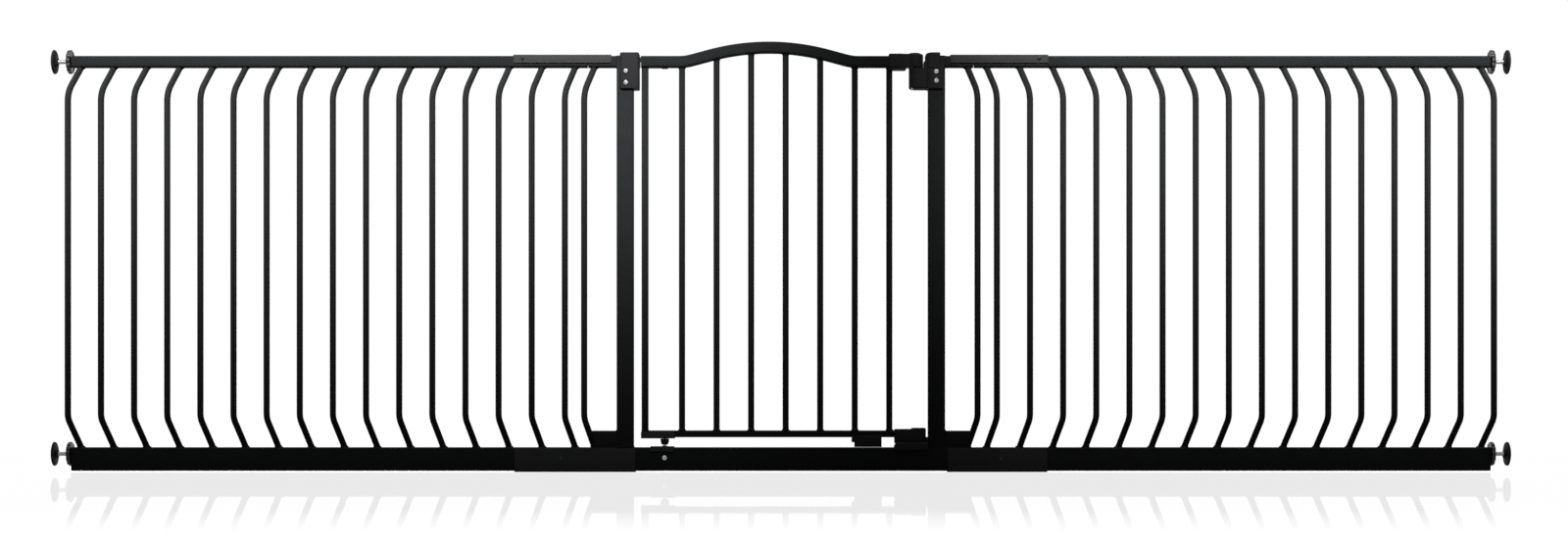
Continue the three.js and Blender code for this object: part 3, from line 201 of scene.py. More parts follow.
def bent_path(corners, bends, steps=8, straight=6):
    """A path through corner points with each inner corner rounded by a parabola that leaves it
    half its bend before and after: q(s) = (1-s)^2 A + 2 s (1-s) P + s^2 B. Every straight run is
    divided into equal steps."""
    corners = np.asarray(corners, float)
    step = np.diff(corners, axis=0)
    step /= np.linalg.norm(step, axis=1, keepdims=True)
    s = np.linspace(0, 1, steps, endpoint=False)[:, None]
    run = np.linspace(0, 1, straight, endpoint=False)[:, None]
    parts, last = [], corners[0]
    for corner, arriving, leaving, bend in zip(corners[1:], step, step[1:], bends):
        before, after = corner - arriving * bend / 2, corner + leaving * bend / 2
        parts += [last + (before - last) * run,
                  (1 - s) ** 2 * before + 2 * s * (1 - s) * corner + s ** 2 * after]
        last = after
    return np.concatenate([*parts, last + (corners[-1] - last) * run, corners[-1:]])


def distance_along(path):
    return np.concatenate([[0], np.cumsum(np.linalg.norm(np.diff(path, axis=0), axis=1))])


def resampled(path, run, stops):
    """Points of a path at distances along it, where run holds the distances of its own points."""
    return np.stack([np.interp(stops, run, path[:, k]) for k in range(3)], axis=1)


def welded_bar(path, levels, around=20):
    """A round bar with a weld bead where it passes each level. The surface at height z stands out
    by bead * exp(-((z - level) / spread)^2), times two slow waves round the bar, so that no bead
    is a perfect ring. The rings are dense over both end stretches, where the beads are."""
    run, near = distance_along(path), np.arange(0, DENSE_END, DENSE_STEP)
    middle = run[(run > DENSE_END) & (run < run[-1] - DENSE_END)]
    path = resampled(path, run, np.concatenate([near, middle, run[-1] - near[::-1]]))
    rings = swept(circle(BAR_RADIUS, around), path, (1, 0, 0))
    out = (rings - path[:, None]) / BAR_RADIUS
    angle = angles_round(around)
    wave = 1 + 0.18 * np.sin(3 * angle + path[0, 0] * 400) + 0.12 * np.sin(7 * angle + 1)
    for level in levels:
        bead = BEAD_HEIGHT * np.exp(-((rings[..., 2] - level) / BEAD_SPREAD) ** 2)
        rings = rings + out * (bead * wave)[..., None]
    return joined_rings(rings)


def bowed_bar(x, low, high):
    """A bar from the base rail's top at x, out to the bowed plane, up, and back to the top rail.
    Both ends run on into the rails along their own slope."""
    foot, lower = np.array([x, 0, low]), np.array([x + BOW_OUT, -BOW_FORWARD, low + BOW_FOOT])
    head, upper = np.array([x, 0, high]), np.array([x + BOW_OUT, -BOW_FORWARD, high - BOW_HEAD])
    corners = [foot + (foot - lower) * BAR_SINK, lower, upper, head + (head - upper) * BAR_SINK]
    return welded_bar(bent_path(corners, (FOOT_BEND, HEAD_BEND)), (low, high))


def feed(node, inputs):
    """Sets a node's inputs by name or number: to a value, or linked to a socket or to a node's
    first output."""
    for key, value in inputs.items():
        if isinstance(value, bpy.types.Node):
            value = value.outputs[0]
        if isinstance(value, bpy.types.NodeSocket):
            node.id_data.links.new(value, node.inputs[key])
        else:
            node.inputs[key].default_value = value


def new_node(tree, kind, inputs, **settings):
    """A new node in a tree, with its settings made and its inputs fed."""
    node = tree.nodes.new(kind)
    for key, value in settings.items():
        setattr(node, key, value)
    feed(node, inputs)
    return node


# A powder coat has a faint orange-peel surface and a soft sheen, with a little dust in the light.
def fine_surface_group():
    """Makes the node group "moulded surface". Two fine noises of Grain and Peel cells a metre give
    a height for Bump, of which Share is the peel's part. Two coarser ones, added up, make the
    colour vary by Drift and the roughness by Unevenness."""
    group = bpy.data.node_groups.new("moulded surface", "ShaderNodeTree")
    for way, names in (
        ("INPUT", ("Colour", "Drift", "Roughness", "Unevenness", "Grain", "Peel", "Share")),
        ("OUTPUT", ("Colour", "Roughness", "Height")),
    ):
        for name in names:
            kind = "NodeSocketColor" if name == "Colour" else "NodeSocketFloat"
            group.interface.new_socket(name, in_out=way, socket_type=kind)
    given = new_node(group, "NodeGroupInput", {}).outputs
    place = new_node(group, "ShaderNodeTexCoord", {}).outputs["Object"]

    def noise(scale, detail):
        return new_node(group, "ShaderNodeTexNoise",
                        {"Vector": place, "Scale": scale, "Detail": detail}).outputs["Fac"]

    def reckon(operation, first, second):
        return new_node(group, "ShaderNodeMath", {0: first, 1: second}, operation=operation)

    grain, peel = noise(given["Grain"], 2.0), noise(given["Peel"], 1.0)
    middle = reckon("SUBTRACT", reckon("ADD", noise(14.0, 3.0), noise(60.0, 4.0)), 1.0)
    tone = reckon("ADD", 1.0, reckon("MULTIPLY", middle, given["Drift"]))
    shade = new_node(group, "ShaderNodeVectorMath", {0: given["Colour"], "Scale": tone},
                     operation="SCALE")
    unevenness = reckon("MULTIPLY", middle, given["Unevenness"])
    rest = reckon("MULTIPLY", grain, reckon("SUBTRACT", 1.0, given["Share"]))
    new_node(group, "NodeGroupOutput", {
        "Colour": shade, "Roughness": reckon("ADD", given["Roughness"], unevenness),
        "Height": reckon("ADD", reckon("MULTIPLY", peel, given["Share"]), rest),
    })
    return group


MOULDED = fine_surface_group()


def finish(name, colour, roughness, bump, shader, **surface):
    """A material on one Principled shader: the moulded surface gives its colour, roughness and
    bump, and shader holds the constants that are set on the shader's own sockets."""
    material = bpy.data.materials.new(name)
    material.use_nodes = True
    tree = material.node_tree
    given = {"Colour": (*colour, 1), "Roughness": roughness, **surface}
    group = new_node(tree, "ShaderNodeGroup", given, node_tree=MOULDED).outputs
    relief = new_node(tree, "ShaderNodeBump", {
        "Strength": bump, "Distance": RELIEF_DEPTH, "Height": group["Height"]})
    feed(tree.nodes["Principled BSDF"], {
        "Base Color": group["Colour"], "Roughness": group["Roughness"], "Normal": relief, **shader})
    return material


powder_coat = finish(
    "matt black powder coat", (0.0125, 0.0130, 0.0135), 0.70, 0.06, {"Specular IOR Level": 0.02},
    Drift=0.30, Unevenness=0.10, Grain=2400.0, Peel=850.0, Share=0.7,
)


def piece(name, body, material, surfaces, replaced):
    """One object from closed surfaces. It rides on a body, takes the material that it is given, and
    stands for the CAD nodes named in replaced. Edges sharper than the angle stay crisp."""
    starts = np.cumsum([0] + [len(points) for points, _ in surfaces])
    points = np.concatenate([points for points, _ in surfaces])
    faces = [
        tuple(int(start) + corner for corner in face)
        for start, (_, some) in zip(starts, surfaces) for face in some
    ]
    mesh = bpy.data.meshes.new(name)
    mesh.from_pydata(points.tolist(), [], faces)
    mesh.polygons.foreach_set("use_smooth", np.ones(len(faces), bool))
    mesh.set_sharp_from_angle(angle=CRISP_ANGLE)
    mesh.materials.append(material)
    made = bpy.data.objects.new(name, mesh)
    bpy.context.scene.collection.objects.link(made)
    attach(made, body)
    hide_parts(*replaced)
    return made


panel_low, panel_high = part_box("right_extension_panel")
rail_top, base_rail_z = panel_high.z, panel_low.z
top_rail_z, top_rail_mid = rail_top - TOP_RAIL, rail_top - TOP_RAIL / 2
base_rail_top = base_rail_z + BASE_RAIL_HEIGHT
panel_inner = panel_low.x
panel_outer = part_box("right_top_rail_bush")[1].x - BUSH_FLANGE
half_top, half_base = TOP_RAIL / 2, BASE_RAIL_DEPTH / 2
top_rail_ring = oblong(-half_top, half_top, top_rail_z, rail_top)
base_rail_ring = oblong(-half_base, half_base, base_rail_z, base_rail_top)

panel_surfaces = [block(ring, "x", panel_inner, panel_outer)
                  for ring in (top_rail_ring, base_rail_ring)]
for bar_x in np.linspace(panel_inner + BAR_FIRST, panel_outer - BAR_LAST, BARS_PER_PANEL):
    panel_surfaces.append(bowed_bar(bar_x, base_rail_top, top_rail_z))
for side in SIDES:
    piece(f"{side}_panel_grille", "gate_frame", powder_coat,
          on_side(side, panel_surfaces), [f"{side}_extension_panel"])

# ---- Gate frame ----
# The welded steel U that carries the door: a base rail, two open-topped posts, and outside each
# post a stub of top rail, a bowed bar and a short box. A rippled weld bead follows each joint.

WALL = 0.0015
POST_WIDTH, POST_DEPTH = 0.030, 0.025
SIDE_BAR_INSET = 0.0105
FOOT_CORNER = 0.001
WELD = 0.0012
WELD_LIFT = 0.0003  # a bead's centre stands this far off the face that it is laid on
WELD_OUT = 0.0002  # and this far out of the tube that it goes round
RIPPLE = 0.0019  # the length of one scale of a bead


def hollow(ring, axis, low, high, wall, edge=0.0004):
    """An open-ended tube: the outline runs up outside and comes down again inside, a wall's
    thickness in, with a quarter-round outer edge at both ends."""
    rows = rounded_end(ring, axis, low, 1, edge) + rounded_end(ring, axis, high, -1, edge)
    inner = inset(ring, wall)
    rows += [laid(inner, high, axis), laid(inner, low, axis)]
    return joined_rings(np.array(rows), looped=True)


def weld(ring, axis, height, radius=WELD, around=8):
    """A weld bead round a drawn outline at a height along an axis. Its radius swells once every
    ripple as r (0.9 + 0.2 |sin(pi s / ripple)|), which leaves the overlapping scales."""
    path = laid(inset(ring, -WELD_OUT), height, axis)
    path = np.concatenate([path, path[:1]])
    run = distance_along(path)
    path = resampled(path, run, np.linspace(0, run[-1], int(run[-1] / RIPPLE * 5)))[:-1]
    path = np.concatenate([path[-1:], path, path[:1]])
    run = distance_along(path)
    swell = radius * (0.9 + 0.2 * np.abs(np.sin(math.pi * (run[2:] - run[2]) / RIPPLE)))
    out = swept(circle(1, around), path, [name == axis for name in "xyz"]) - path[:, None]
    return joined_rings(path[1:-1, None] + swell[:, None, None] * out[1:-1], looped=True)


post_low, post_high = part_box("right_post")
post_inner, frame_end = post_low.x, post_high.x
post_outer, post_half = post_inner + POST_WIDTH, POST_DEPTH / 2
post_ring = oblong(post_inner, post_outer, -post_half, post_half)
joint_ring = oblong(post_inner, post_outer, -post_half + WELD, post_half - WELD)
stub_joint = oblong(-half_top, half_top, top_rail_z, rail_top - WELD)
rail_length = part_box("base_rail")
piece("base_rail_tube", "gate_frame", powder_coat,
      [block(base_rail_ring, "x", rail_length[0].x, rail_length[1].x)], ["base_rail"])

corner_low, corner_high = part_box("right_base_bracket")
corner_ring = oblong(corner_low.y, corner_high.y, corner_low.z, corner_high.z)
corner_foot = oblong(corner_low.x, corner_high.x, corner_low.y, corner_high.y, FOOT_CORNER)
for side in SIDES:
    for what, node, surfaces in (
        ("post_tube", "post", [
            hollow(post_ring, "z", base_rail_top, rail_top, WALL),
            block(top_rail_ring, "x", post_outer - WALL / 2, frame_end),
            weld(joint_ring, "z", base_rail_top + WELD_LIFT),
            weld(stub_joint, "x", post_outer + WELD_LIFT),
        ]),
        ("bowed_side_bar", "side_bar", [
            bowed_bar(frame_end - SIDE_BAR_INSET, base_rail_top, top_rail_z),
        ]),
        ("corner_box", "base_bracket", [
            hollow(corner_ring, "x", post_outer, corner_high.x, WALL),
            weld(corner_ring, "x", post_outer + WELD_LIFT),
            weld(corner_foot, "z", base_rail_top + WELD_LIFT),
        ]),
    ):
        piece(f"{side}_{what}", "gate_frame", powder_coat,
              on_side(side, surfaces), [f"{side}_{node}"])

# ---- Connectors ----
# Folded channels of satin black sheet that join the frame to the panels, over the top rails and
# under the base rails. Each is pinned by a small black cross-recess screw in its front.

SHEET = 0.0015
SHEET_EDGE = 0.0003
FOLD = 0.0022
EASED_CORNER = 0.0035
AXIS_POINT = 0.00004  # a turned surface closes on a ring as small as this


def channel(low, high, web_down, sheet=SHEET, lip=0.0004, inner=0.0007):
    """The outline (y, z) of a folded channel in a box. Its web is at the bottom where web_down,
    else at the top. The lips and the fold's inside have small radii of their own."""
    y0, y1, z0, z1 = low.y, high.y, low.z, high.z
    web, edge, thick = (z0, z1, sheet) if web_down else (z1, z0, -sheet)
    corners = [
        (y0, web), (y1, web), (y1, edge), (y1 - sheet, edge), (y1 - sheet, web + thick),
        (y0 + sheet, web + thick), (y0 + sheet, edge), (y0, edge),
    ]
    radii = [FOLD, FOLD, lip, lip, inner, inner, lip, lip]
    if not web_down:
        corners, radii = corners[::-1], radii[::-1]
    return outline(corners, radii, 4)


def corner_drop(radius, inside):
    """How far a rounded corner of this radius stands back from its face, at a distance inside its
    end: r - sqrt(r^2 - (r - d)^2), and nothing beyond the radius."""
    gap = np.clip(radius - inside, 0, radius)
    return radius - np.sqrt(radius ** 2 - gap ** 2)


def eased_block(ring, low, high, edge, reach, ends, level, steps=8):
    """An outline pushed from low to high along X, whose silhouette has a rounded corner at each x
    of ends: no point may pass the quarter circle of radius reach under the level, or over it where
    the level is the block's lower side. Extra rings within reach of both ends carry the curve."""
    near = np.linspace(edge, reach, steps)
    rows = rounded_end(ring, "x", low, 1, edge) + [laid(ring, low + d, "x") for d in near[1:]]
    rows += [laid(ring, high - d, "x") for d in near[:0:-1]]
    points, faces = joined_rings(np.array(rows + rounded_end(ring, "x", high, -1, edge)))
    z = points[:, 2]
    limit, sign = (np.minimum, -1) if level > (z.max() + z.min()) / 2 else (np.maximum, 1)
    for end in ends:
        z[:] = limit(z, level + sign * corner_drop(reach, np.abs(points[:, 0] - end)))
    return points, faces


def screw(node, material, around=56, rings=16):
    """Makes a cross-recess pan head in a node's box, facing the front, with a stub of shank behind
    it, and gives its centre (z, x) and radius.

    Over the radius r, the face stands back by crown (r / R)^4 and the recess is a cross of slots
    of half-width w, which ends at radius c and has sloping sides.
    """
    low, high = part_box(node)
    radius = (high.x - low.x) / 2
    centre = ((low.z + high.z) / 2, (low.x + high.x) / 2)
    crown, slot_half, cross, depth = radius * 0.30, radius * 0.19, radius * 0.66, radius * 0.50
    r = (np.linspace(0, 1, rings) ** 0.9 * radius)[:, None]
    r[0] = AXIS_POINT
    up, across = np.moveaxis(circle(1, around), 1, 0)[:, None] * r
    side = np.minimum(np.abs(across), np.abs(up))
    sunk = np.clip((slot_half - side) / (0.5 * slot_half), 0, 1)
    sunk *= np.clip((cross - r) / (0.25 * cross), 0, 1)
    face = low.y + crown * (r / radius) ** 4 + depth * sunk
    collar = np.array([
        (radius, low.y + crown + 0.0002), (radius, low.y + crown * 2.3),
        (radius * 0.5, low.y + crown * 2.4), (radius * 0.5, high.y),
    ])
    head = joined_rings(np.concatenate([
        laid(np.stack([up, across], axis=-1) + centre, face, "y"),
        laid(circle(1, around) * collar[:, :1, None] + centre, collar[:, 1:], "y")]))
    piece(f"{node}_head", "gate_frame", material, [head], [node])
    return centre, radius


satin_sheet = finish(
    "satin black sheet", (0.0290, 0.0295, 0.0300), 0.60, 0.06, {"Specular IOR Level": 0.03},
    Drift=0.30, Unevenness=0.10, Grain=2600.0, Peel=900.0, Share=0.6,
)
black_oxide = finish(
    "black oxide steel", (0.012, 0.012, 0.013), 0.34, 0.08, {"Specular IOR Level": 0.15},
    Drift=0.30, Unevenness=0.12, Grain=2500.0, Peel=800.0, Share=0.4,
)

top_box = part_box("right_top_connector")
for side in SIDES:
    base_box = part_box(f"{side}_base_connector")
    for level, (low, high), web_down in (("top", top_box, False), ("base", base_box, True)):
        ends, edge = ((low.x, high.x), high.z) if web_down else ((low.x,), low.z)
        sheet = eased_block(channel(low, high, web_down), low.x, high.x, SHEET_EDGE, EASED_CORNER,
                            ends, edge)
        piece(f"{side}_{level}_channel", "gate_frame", satin_sheet,
              [sheet] if web_down else on_side(side, [sheet]), [f"{side}_{level}_connector"])
    for level in ("top", "base"):
        screw(f"{side}_{level}_connector_screw", black_oxide)

# ---- Wall fittings ----
# Four screw-out pads: a nylon bush in the rail's end, an M8 zinc-plated spindle, a scalloped nylon
# hand nut turned along it, and a nylon cup with a grooved rubber face that grips the wall.

THREAD_PITCH = 0.00125
THREAD_DEPTH = 0.0007
THREAD_END = 0.001
NUT_HUB = 0.0085
NUT_LOBES = 12
LOBE_DEPTH = 0.0020
CUP_DISC = 0.0045
PAD_SLACK = 0.0003
GROOVE_DEPTH = 0.0004
GROOVE_PITCH = 0.0030


def profile(corners, radii, steps=4):
    """An open line through corner points, with every corner but the two ends rounded."""
    with np.errstate(all="ignore"):
        arcs = outline(corners, [1e-6, *radii, 1e-6], steps)
    corners = np.asarray(corners, float)
    return np.concatenate([corners[:1], arcs[steps + 1:-(steps + 1)], corners[-1:]])


def turned(line, axis, centre, around=40, looped=False, lobes=None):
    """A turned surface: each point (radius, height) of the line makes a ring about the axis.

    With lobes = (count, depth, rim), the radius r gives way by
    depth (1 - |cos(count a / 2)|) (r / rim)^6 at angle a, which cuts finger grips in the rim.
    """
    reach, height = np.asarray(line, float).T[..., None]
    angle = angles_round(around)
    if lobes:
        count, depth, rim = lobes
        reach = reach - depth * (1 - np.abs(np.cos(count * angle / 2))) * (reach / rim) ** 6
    rings = np.stack([np.cos(angle) * reach, np.sin(angle) * reach], axis=-1) + centre
    return joined_rings(laid(rings, height, axis), looped)


def threaded_rod(low, high, around=24, per_pitch=8):
    """A threaded spindle along X in a box. At angle a and distance x the radius is
    R - d |2 f - 1| with f = frac(x / pitch - a / 2 pi), which is a helical 60 degree thread, and it
    shrinks to the root over the last millimetre at each end."""
    radius = (high.y - low.y) / 2
    x = np.linspace(low.x, high.x, int((high.x - low.x) / THREAD_PITCH * per_pitch))[:, None]
    angle = angles_round(around)[None]
    phase = np.mod(x / THREAD_PITCH - angle / (2 * math.pi), 1)
    reach = radius - THREAD_DEPTH * np.abs(2 * phase - 1)
    ends = np.clip(np.minimum(x - low.x, high.x - x) / THREAD_END, 0, 1)
    reach = np.minimum(reach, radius - THREAD_DEPTH * (1.4 - ends))
    rings = np.stack([np.cos(angle) * reach, np.sin(angle) * reach + (low.z + high.z) / 2], axis=-1)
    return joined_rings(laid(rings, x, "x"))


black_nylon = finish(
    "moulded black nylon", (0.0130, 0.0130, 0.0140), 0.60, 0.12, {"Specular IOR Level": 0.04},
    Drift=0.25, Unevenness=0.10, Grain=1900.0, Peel=600.0, Share=0.25,
)
smooth_plastic = finish(
    "smooth black plastic", (0.016, 0.016, 0.017), 0.24, 0.04, {"Specular IOR Level": 0.16},
    Drift=0.2, Unevenness=0.08, Grain=2200.0, Peel=300.0, Share=0.8,
)
bright_zinc = finish(
    "bright zinc plate", (0.34, 0.35, 0.36), 0.40, 0.06, {"Metallic": 1.0},
    Drift=0.18, Unevenness=0.14, Grain=2600.0, Peel=900.0, Share=0.4,
)
soft_rubber = finish(
    "soft black rubber", (0.016, 0.016, 0.016), 0.85, 0.35, {"Specular IOR Level": 0.10},
    Drift=0.30, Unevenness=0.08, Grain=1500.0, Peel=300.0, Share=0.3,
)

for level in ("top", "base"):
    low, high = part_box(f"right_{level}_rail_bush")
    flange_ring = oblong(low.y, high.y, low.z, high.z)
    bush = [
        block(flange_ring, "x", high.x - BUSH_FLANGE, high.x, 0.0002, 0.0006),
        block(inset(flange_ring, WALL), "x", low.x, high.x - BUSH_FLANGE / 2),
    ]
    low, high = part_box(f"right_{level}_spindle")
    axis_at = (0.0, (low.z + high.z) / 2)
    rod = [threaded_rod(low, high)]

    low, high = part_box(f"right_{level}_hand_nut")
    rim, hub = (high.y - low.y) / 2, NUT_HUB
    dish_left, dish_right = low.x + 0.0012, high.x - 0.0013
    line = profile(
        [(AXIS_POINT, low.x), (hub, low.x), (hub + 0.001, dish_left), (rim - 0.0042, dish_left),
         (rim - 0.0032, low.x + 0.0002), (rim, low.x + 0.0002), (rim, high.x),
         (rim - 0.0035, high.x), (rim - 0.0048, dish_right), (hub + 0.0012, dish_right),
         (hub, high.x), (AXIS_POINT, high.x)],
        [0.0004, 0.0003, 0.0004, 0.0004, 0.0014, 0.0014, 0.0005, 0.0005, 0.0005, 0.0005],
    )
    nut = [turned(line, "x", axis_at, 96, lobes=(NUT_LOBES, LOBE_DEPTH, rim))]

    low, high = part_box(f"right_{level}_wall_cup")
    rim, disc = (high.y - low.y) / 2, high.x - CUP_DISC
    pad_low, pad_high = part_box(f"right_{level}_rubber_pad")
    pad_rim = (pad_high.y - pad_low.y) / 2
    line = profile(
        [(AXIS_POINT, low.x), (0.0070, low.x), (0.0088, disc - 0.0008), (0.0130, disc + 0.0002),
         (rim - 0.0012, disc + 0.0010), (rim, disc + 0.0022), (rim, high.x),
         (pad_rim + PAD_SLACK, high.x), (pad_rim + PAD_SLACK, pad_low.x), (AXIS_POINT, pad_low.x)],
        [0.0006, 0.0016, 0.0030, 0.0008, 0.0008, 0.0005, 0.0003, 0.0003],
    )
    cup = [turned(line, "x", axis_at, 72)]
    reach = np.linspace(pad_rim - 0.0008, AXIS_POINT, 90)
    groove = GROOVE_DEPTH * np.clip(np.sin(reach / GROOVE_PITCH * 2 * math.pi) * 2 - 0.6, 0, 1)
    groove[[0, -1]] = 0
    line = np.concatenate([
        [(AXIS_POINT, pad_low.x), (pad_rim, pad_low.x), (pad_rim, pad_high.x - 0.0008),
         (pad_rim - 0.0002, pad_high.x - 0.0003)], np.stack([reach, pad_high.x - groove], axis=1)])
    pad = [turned(line, "x", axis_at, 64)]

    for side in SIDES:
        fitting = f"{side}_{level}"
        for what, body, slot, material, surfaces in (
            ("rail_bush", "gate_frame", "black_plastic", black_nylon, bush),
            ("spindle", f"{fitting}_pad", "zinc_steel", bright_zinc, rod),
            ("hand_nut", f"{fitting}_nut", "black_plastic", smooth_plastic, nut),
            ("wall_cup", f"{fitting}_pad", "black_plastic", black_nylon, cup),
            ("rubber_pad", f"{fitting}_pad", "pad_rubber", soft_rubber, pad),
        ):
            piece(f"{fitting}_{what}_part", body, material,
                  on_side(side, surfaces), [f"{fitting}_{what}"])

# ---- Hinge side brackets ----
# A moulded nylon block is capped over the left post's top and held by two zinc-plated cross-recess
# screws, each in a raised rim. A flat black steel arm leaves it for the door's top rail.

BRACKET_CORNER = 0.005
HINGE_COLLAR = 0.0012  # the collar round the arm stands this far out of the block
RUN_IN = 0.005  # how far a collar or shoulder runs into its moulding
COLLAR_HALF = 0.008
COLLAR_HEIGHT = 0.017
RIM_WIDTH = 0.0011
RIM_OUT = 0.0007
RIM_SLACK = 0.0003
RIM_SINK = 0.0010


def rimmed_screws(bracket, face):
    """Makes a bracket's two zinc-plated screws, and gives the moulded rims round their heads."""
    rims = []
    for level in ("upper", "lower"):
        centre, radius = screw(f"{bracket}_screw_{level}", bright_zinc)
        inner = radius + RIM_SLACK
        outer, out, sunk = inner + RIM_WIDTH, face - RIM_OUT, face + RIM_SINK
        line = oblong(inner, outer, out, sunk, [0.0003, 0.0004, 0.0002, 0.0002], 3)
        rims.append(turned(line, "y", centre, 48, looped=True))
    return rims


def arc(x, radius, start, end, count):
    """Points of a circle about (x, 0), from one angle to another."""
    angle = np.linspace(start, end, count)
    return np.stack([np.cos(angle), np.sin(angle)], axis=1) * radius + (x, 0)


hinge_low, hinge_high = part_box("hinge_bracket")
hinge_right = hinge_high.x - HINGE_COLLAR
hinge_ring = oblong(hinge_low.x, hinge_right, hinge_low.y, hinge_high.y, BRACKET_CORNER, 8)
collar_ring = oblong(hinge_right - RUN_IN, hinge_high.x, -COLLAR_HALF, COLLAR_HALF, 0.0010)
piece("hinge_bracket_block", "gate_frame", black_nylon, [
    block(hinge_ring, "z", hinge_low.z, hinge_high.z, 0.0010, 0.0026, 5),
    block(collar_ring, "z", top_rail_z, top_rail_z + COLLAR_HEIGHT, 0.0006, 0.0008, 5),
    *rimmed_screws("hinge_bracket", hinge_low.y),
], ["hinge_bracket"])

arm_low, arm_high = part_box("hinge_arm")
arm_half = arm_high.y
arm_ring = np.concatenate([
    [(arm_low.x, -arm_half)], arc(arm_high.x - arm_half, arm_half, -math.pi / 2, math.pi / 2, 17),
    [(arm_low.x, arm_half)]])
piece("hinge_arm_bar", "gate_frame", black_oxide,
      [block(arm_ring, "z", arm_low.z, arm_high.z)], ["hinge_arm"])

# ---- Catch bracket ----
# The nylon moulding on the right post: a hood over the post's top, a plate that its two screws
# clamp, and the round pod whose socket takes the latch pin. A steel pin runs down the pod.

CATCH_HOOD_RIGHT = 0.0051  # the hood stops this far short of the plate
HOOD_RUN_IN = 0.002
PLATE_LEFT = 0.005  # the plate reaches this far past the post
CATCH_SHOULDER = 0.0027
CATCH_SHOULDER_DROP = 0.010
SHOULDER_RUN_IN = 0.003
HOOD_SHOULDER = 0.006
HOOD_EDGE = 0.0022
HOOD_CORNER = 0.009
PLATE_CORNER = 0.004
POD_RADIUS = 0.0135
POD_FOOT = 0.0035
POD_DROP = 0.0015
POD_RUN_IN = 0.006
SOCKET_HALF = 0.0036
SOCKET_DEPTH = 0.009
SLACK = 0.0003  # the usual play or overlap between two surfaces
HAIR = 0.0001  # a bare edge, or what keeps two faces from coinciding
catch_low, catch_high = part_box("catch_bracket")
pod_x = catch_low.x + POD_RADIUS
pin_low, pin_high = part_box("latch_pin")
latch_x = (pin_low.x + pin_high.x) / 2
plate_left = post_inner - PLATE_LEFT
plate_step = top_rail_z - SLACK
pod_top = top_rail_z - POD_DROP


def bracket_ring(left, right):
    radii = [HOOD_CORNER, PLATE_CORNER, PLATE_CORNER, HOOD_CORNER]
    return oblong(left, right, catch_low.y, catch_high.y, radii, 8)


def shouldered_hood(ring, low, high):
    """The hood's plan carried up from low to high. Towards the top its outline is inset as a
    rounded edge, and its left side is drawn in to the right as a larger rounded shoulder."""
    left, right = ring[:, 0].min(), ring[:, 0].max()
    rows = [laid(ring, low, "z")]
    for depth in np.linspace(0, HOOD_SHOULDER, 13)[::-1]:
        row = laid(inset(ring, corner_drop(HOOD_EDGE, depth)), high - depth, "z")
        row[:, 0] += corner_drop(HOOD_SHOULDER, depth) * (right - row[:, 0]) / (right - left)
        rows.append(row)
    return joined_rings(np.array(rows))


pod_right = plate_left + POD_RUN_IN
pod_end = [(pod_x, -POD_RADIUS), (pod_right, -POD_RADIUS), (pod_right, POD_RADIUS)]
pod_ring = np.concatenate([
    [(pod_x, POD_RADIUS)], arc(pod_x, POD_RADIUS, math.pi / 2, 3 * math.pi / 2, 33)[1:-1], pod_end])
slot_left, slot_right = latch_x - SOCKET_HALF, latch_x + SOCKET_HALF
back_left = math.sqrt(POD_RADIUS ** 2 - (slot_left - pod_x) ** 2)
turn = math.atan2(back_left, slot_left - pod_x)
socket_ring = np.concatenate([
    arc(pod_x, POD_RADIUS, turn, 3 * math.pi / 2, 31)[:-1], pod_end,
    [(slot_right, POD_RADIUS), (slot_right, -SOCKET_HALF), (slot_left, -SOCKET_HALF)]])
socket_floor = pod_top - SOCKET_DEPTH
half = POD_RADIUS - SLACK
shoulder_ring = oblong(plate_left - CATCH_SHOULDER, plate_left + RUN_IN, -half, half, 0.0012)
shoulder_top = rail_top - CATCH_SHOULDER_DROP
piece("catch_bracket_moulding", "gate_frame", black_nylon, [
    shouldered_hood(bracket_ring(plate_left, catch_high.x - CATCH_HOOD_RIGHT),
                    plate_step - HOOD_RUN_IN, catch_high.z),
    block(bracket_ring(plate_left, catch_high.x), "z", catch_low.z, plate_step, 0.0012, 0.0008, 5),
    block(pod_ring, "z", catch_low.z, socket_floor, POD_FOOT, HAIR, 5),
    block(socket_ring, "z", socket_floor - SLACK, pod_top, HAIR, 0.0008, 5),
    block(shoulder_ring, "z", pod_top - SHOULDER_RUN_IN, shoulder_top, HAIR, 0.0012, 5),
    *rimmed_screws("catch_bracket", catch_low.y),
], ["catch_bracket"])


def pin(node, edge=0.0004, around=28):
    """A plain upright pin that fills a node's box, with small rounded edges."""
    low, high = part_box(node)
    radius = (high.x - low.x) / 2
    line = profile([(AXIS_POINT, low.z), (radius, low.z), (radius, high.z), (AXIS_POINT, high.z)],
                   [edge, edge])
    return turned(line, "z", ((low.x + high.x) / 2, (low.y + high.y) / 2), around)


piece("catch_pod_pin_rod", "gate_frame", bright_zinc, [pin("catch_pod_pin")],
      ["catch_pod_pin"])

# ---- Lower hinge ----
# A folded plate of black sheet on the base rail backs the zinc-plated pivot pin, which a screw
# holds from the front. The door's black sheet shoe rests on a tapered nylon bush that lifts too.

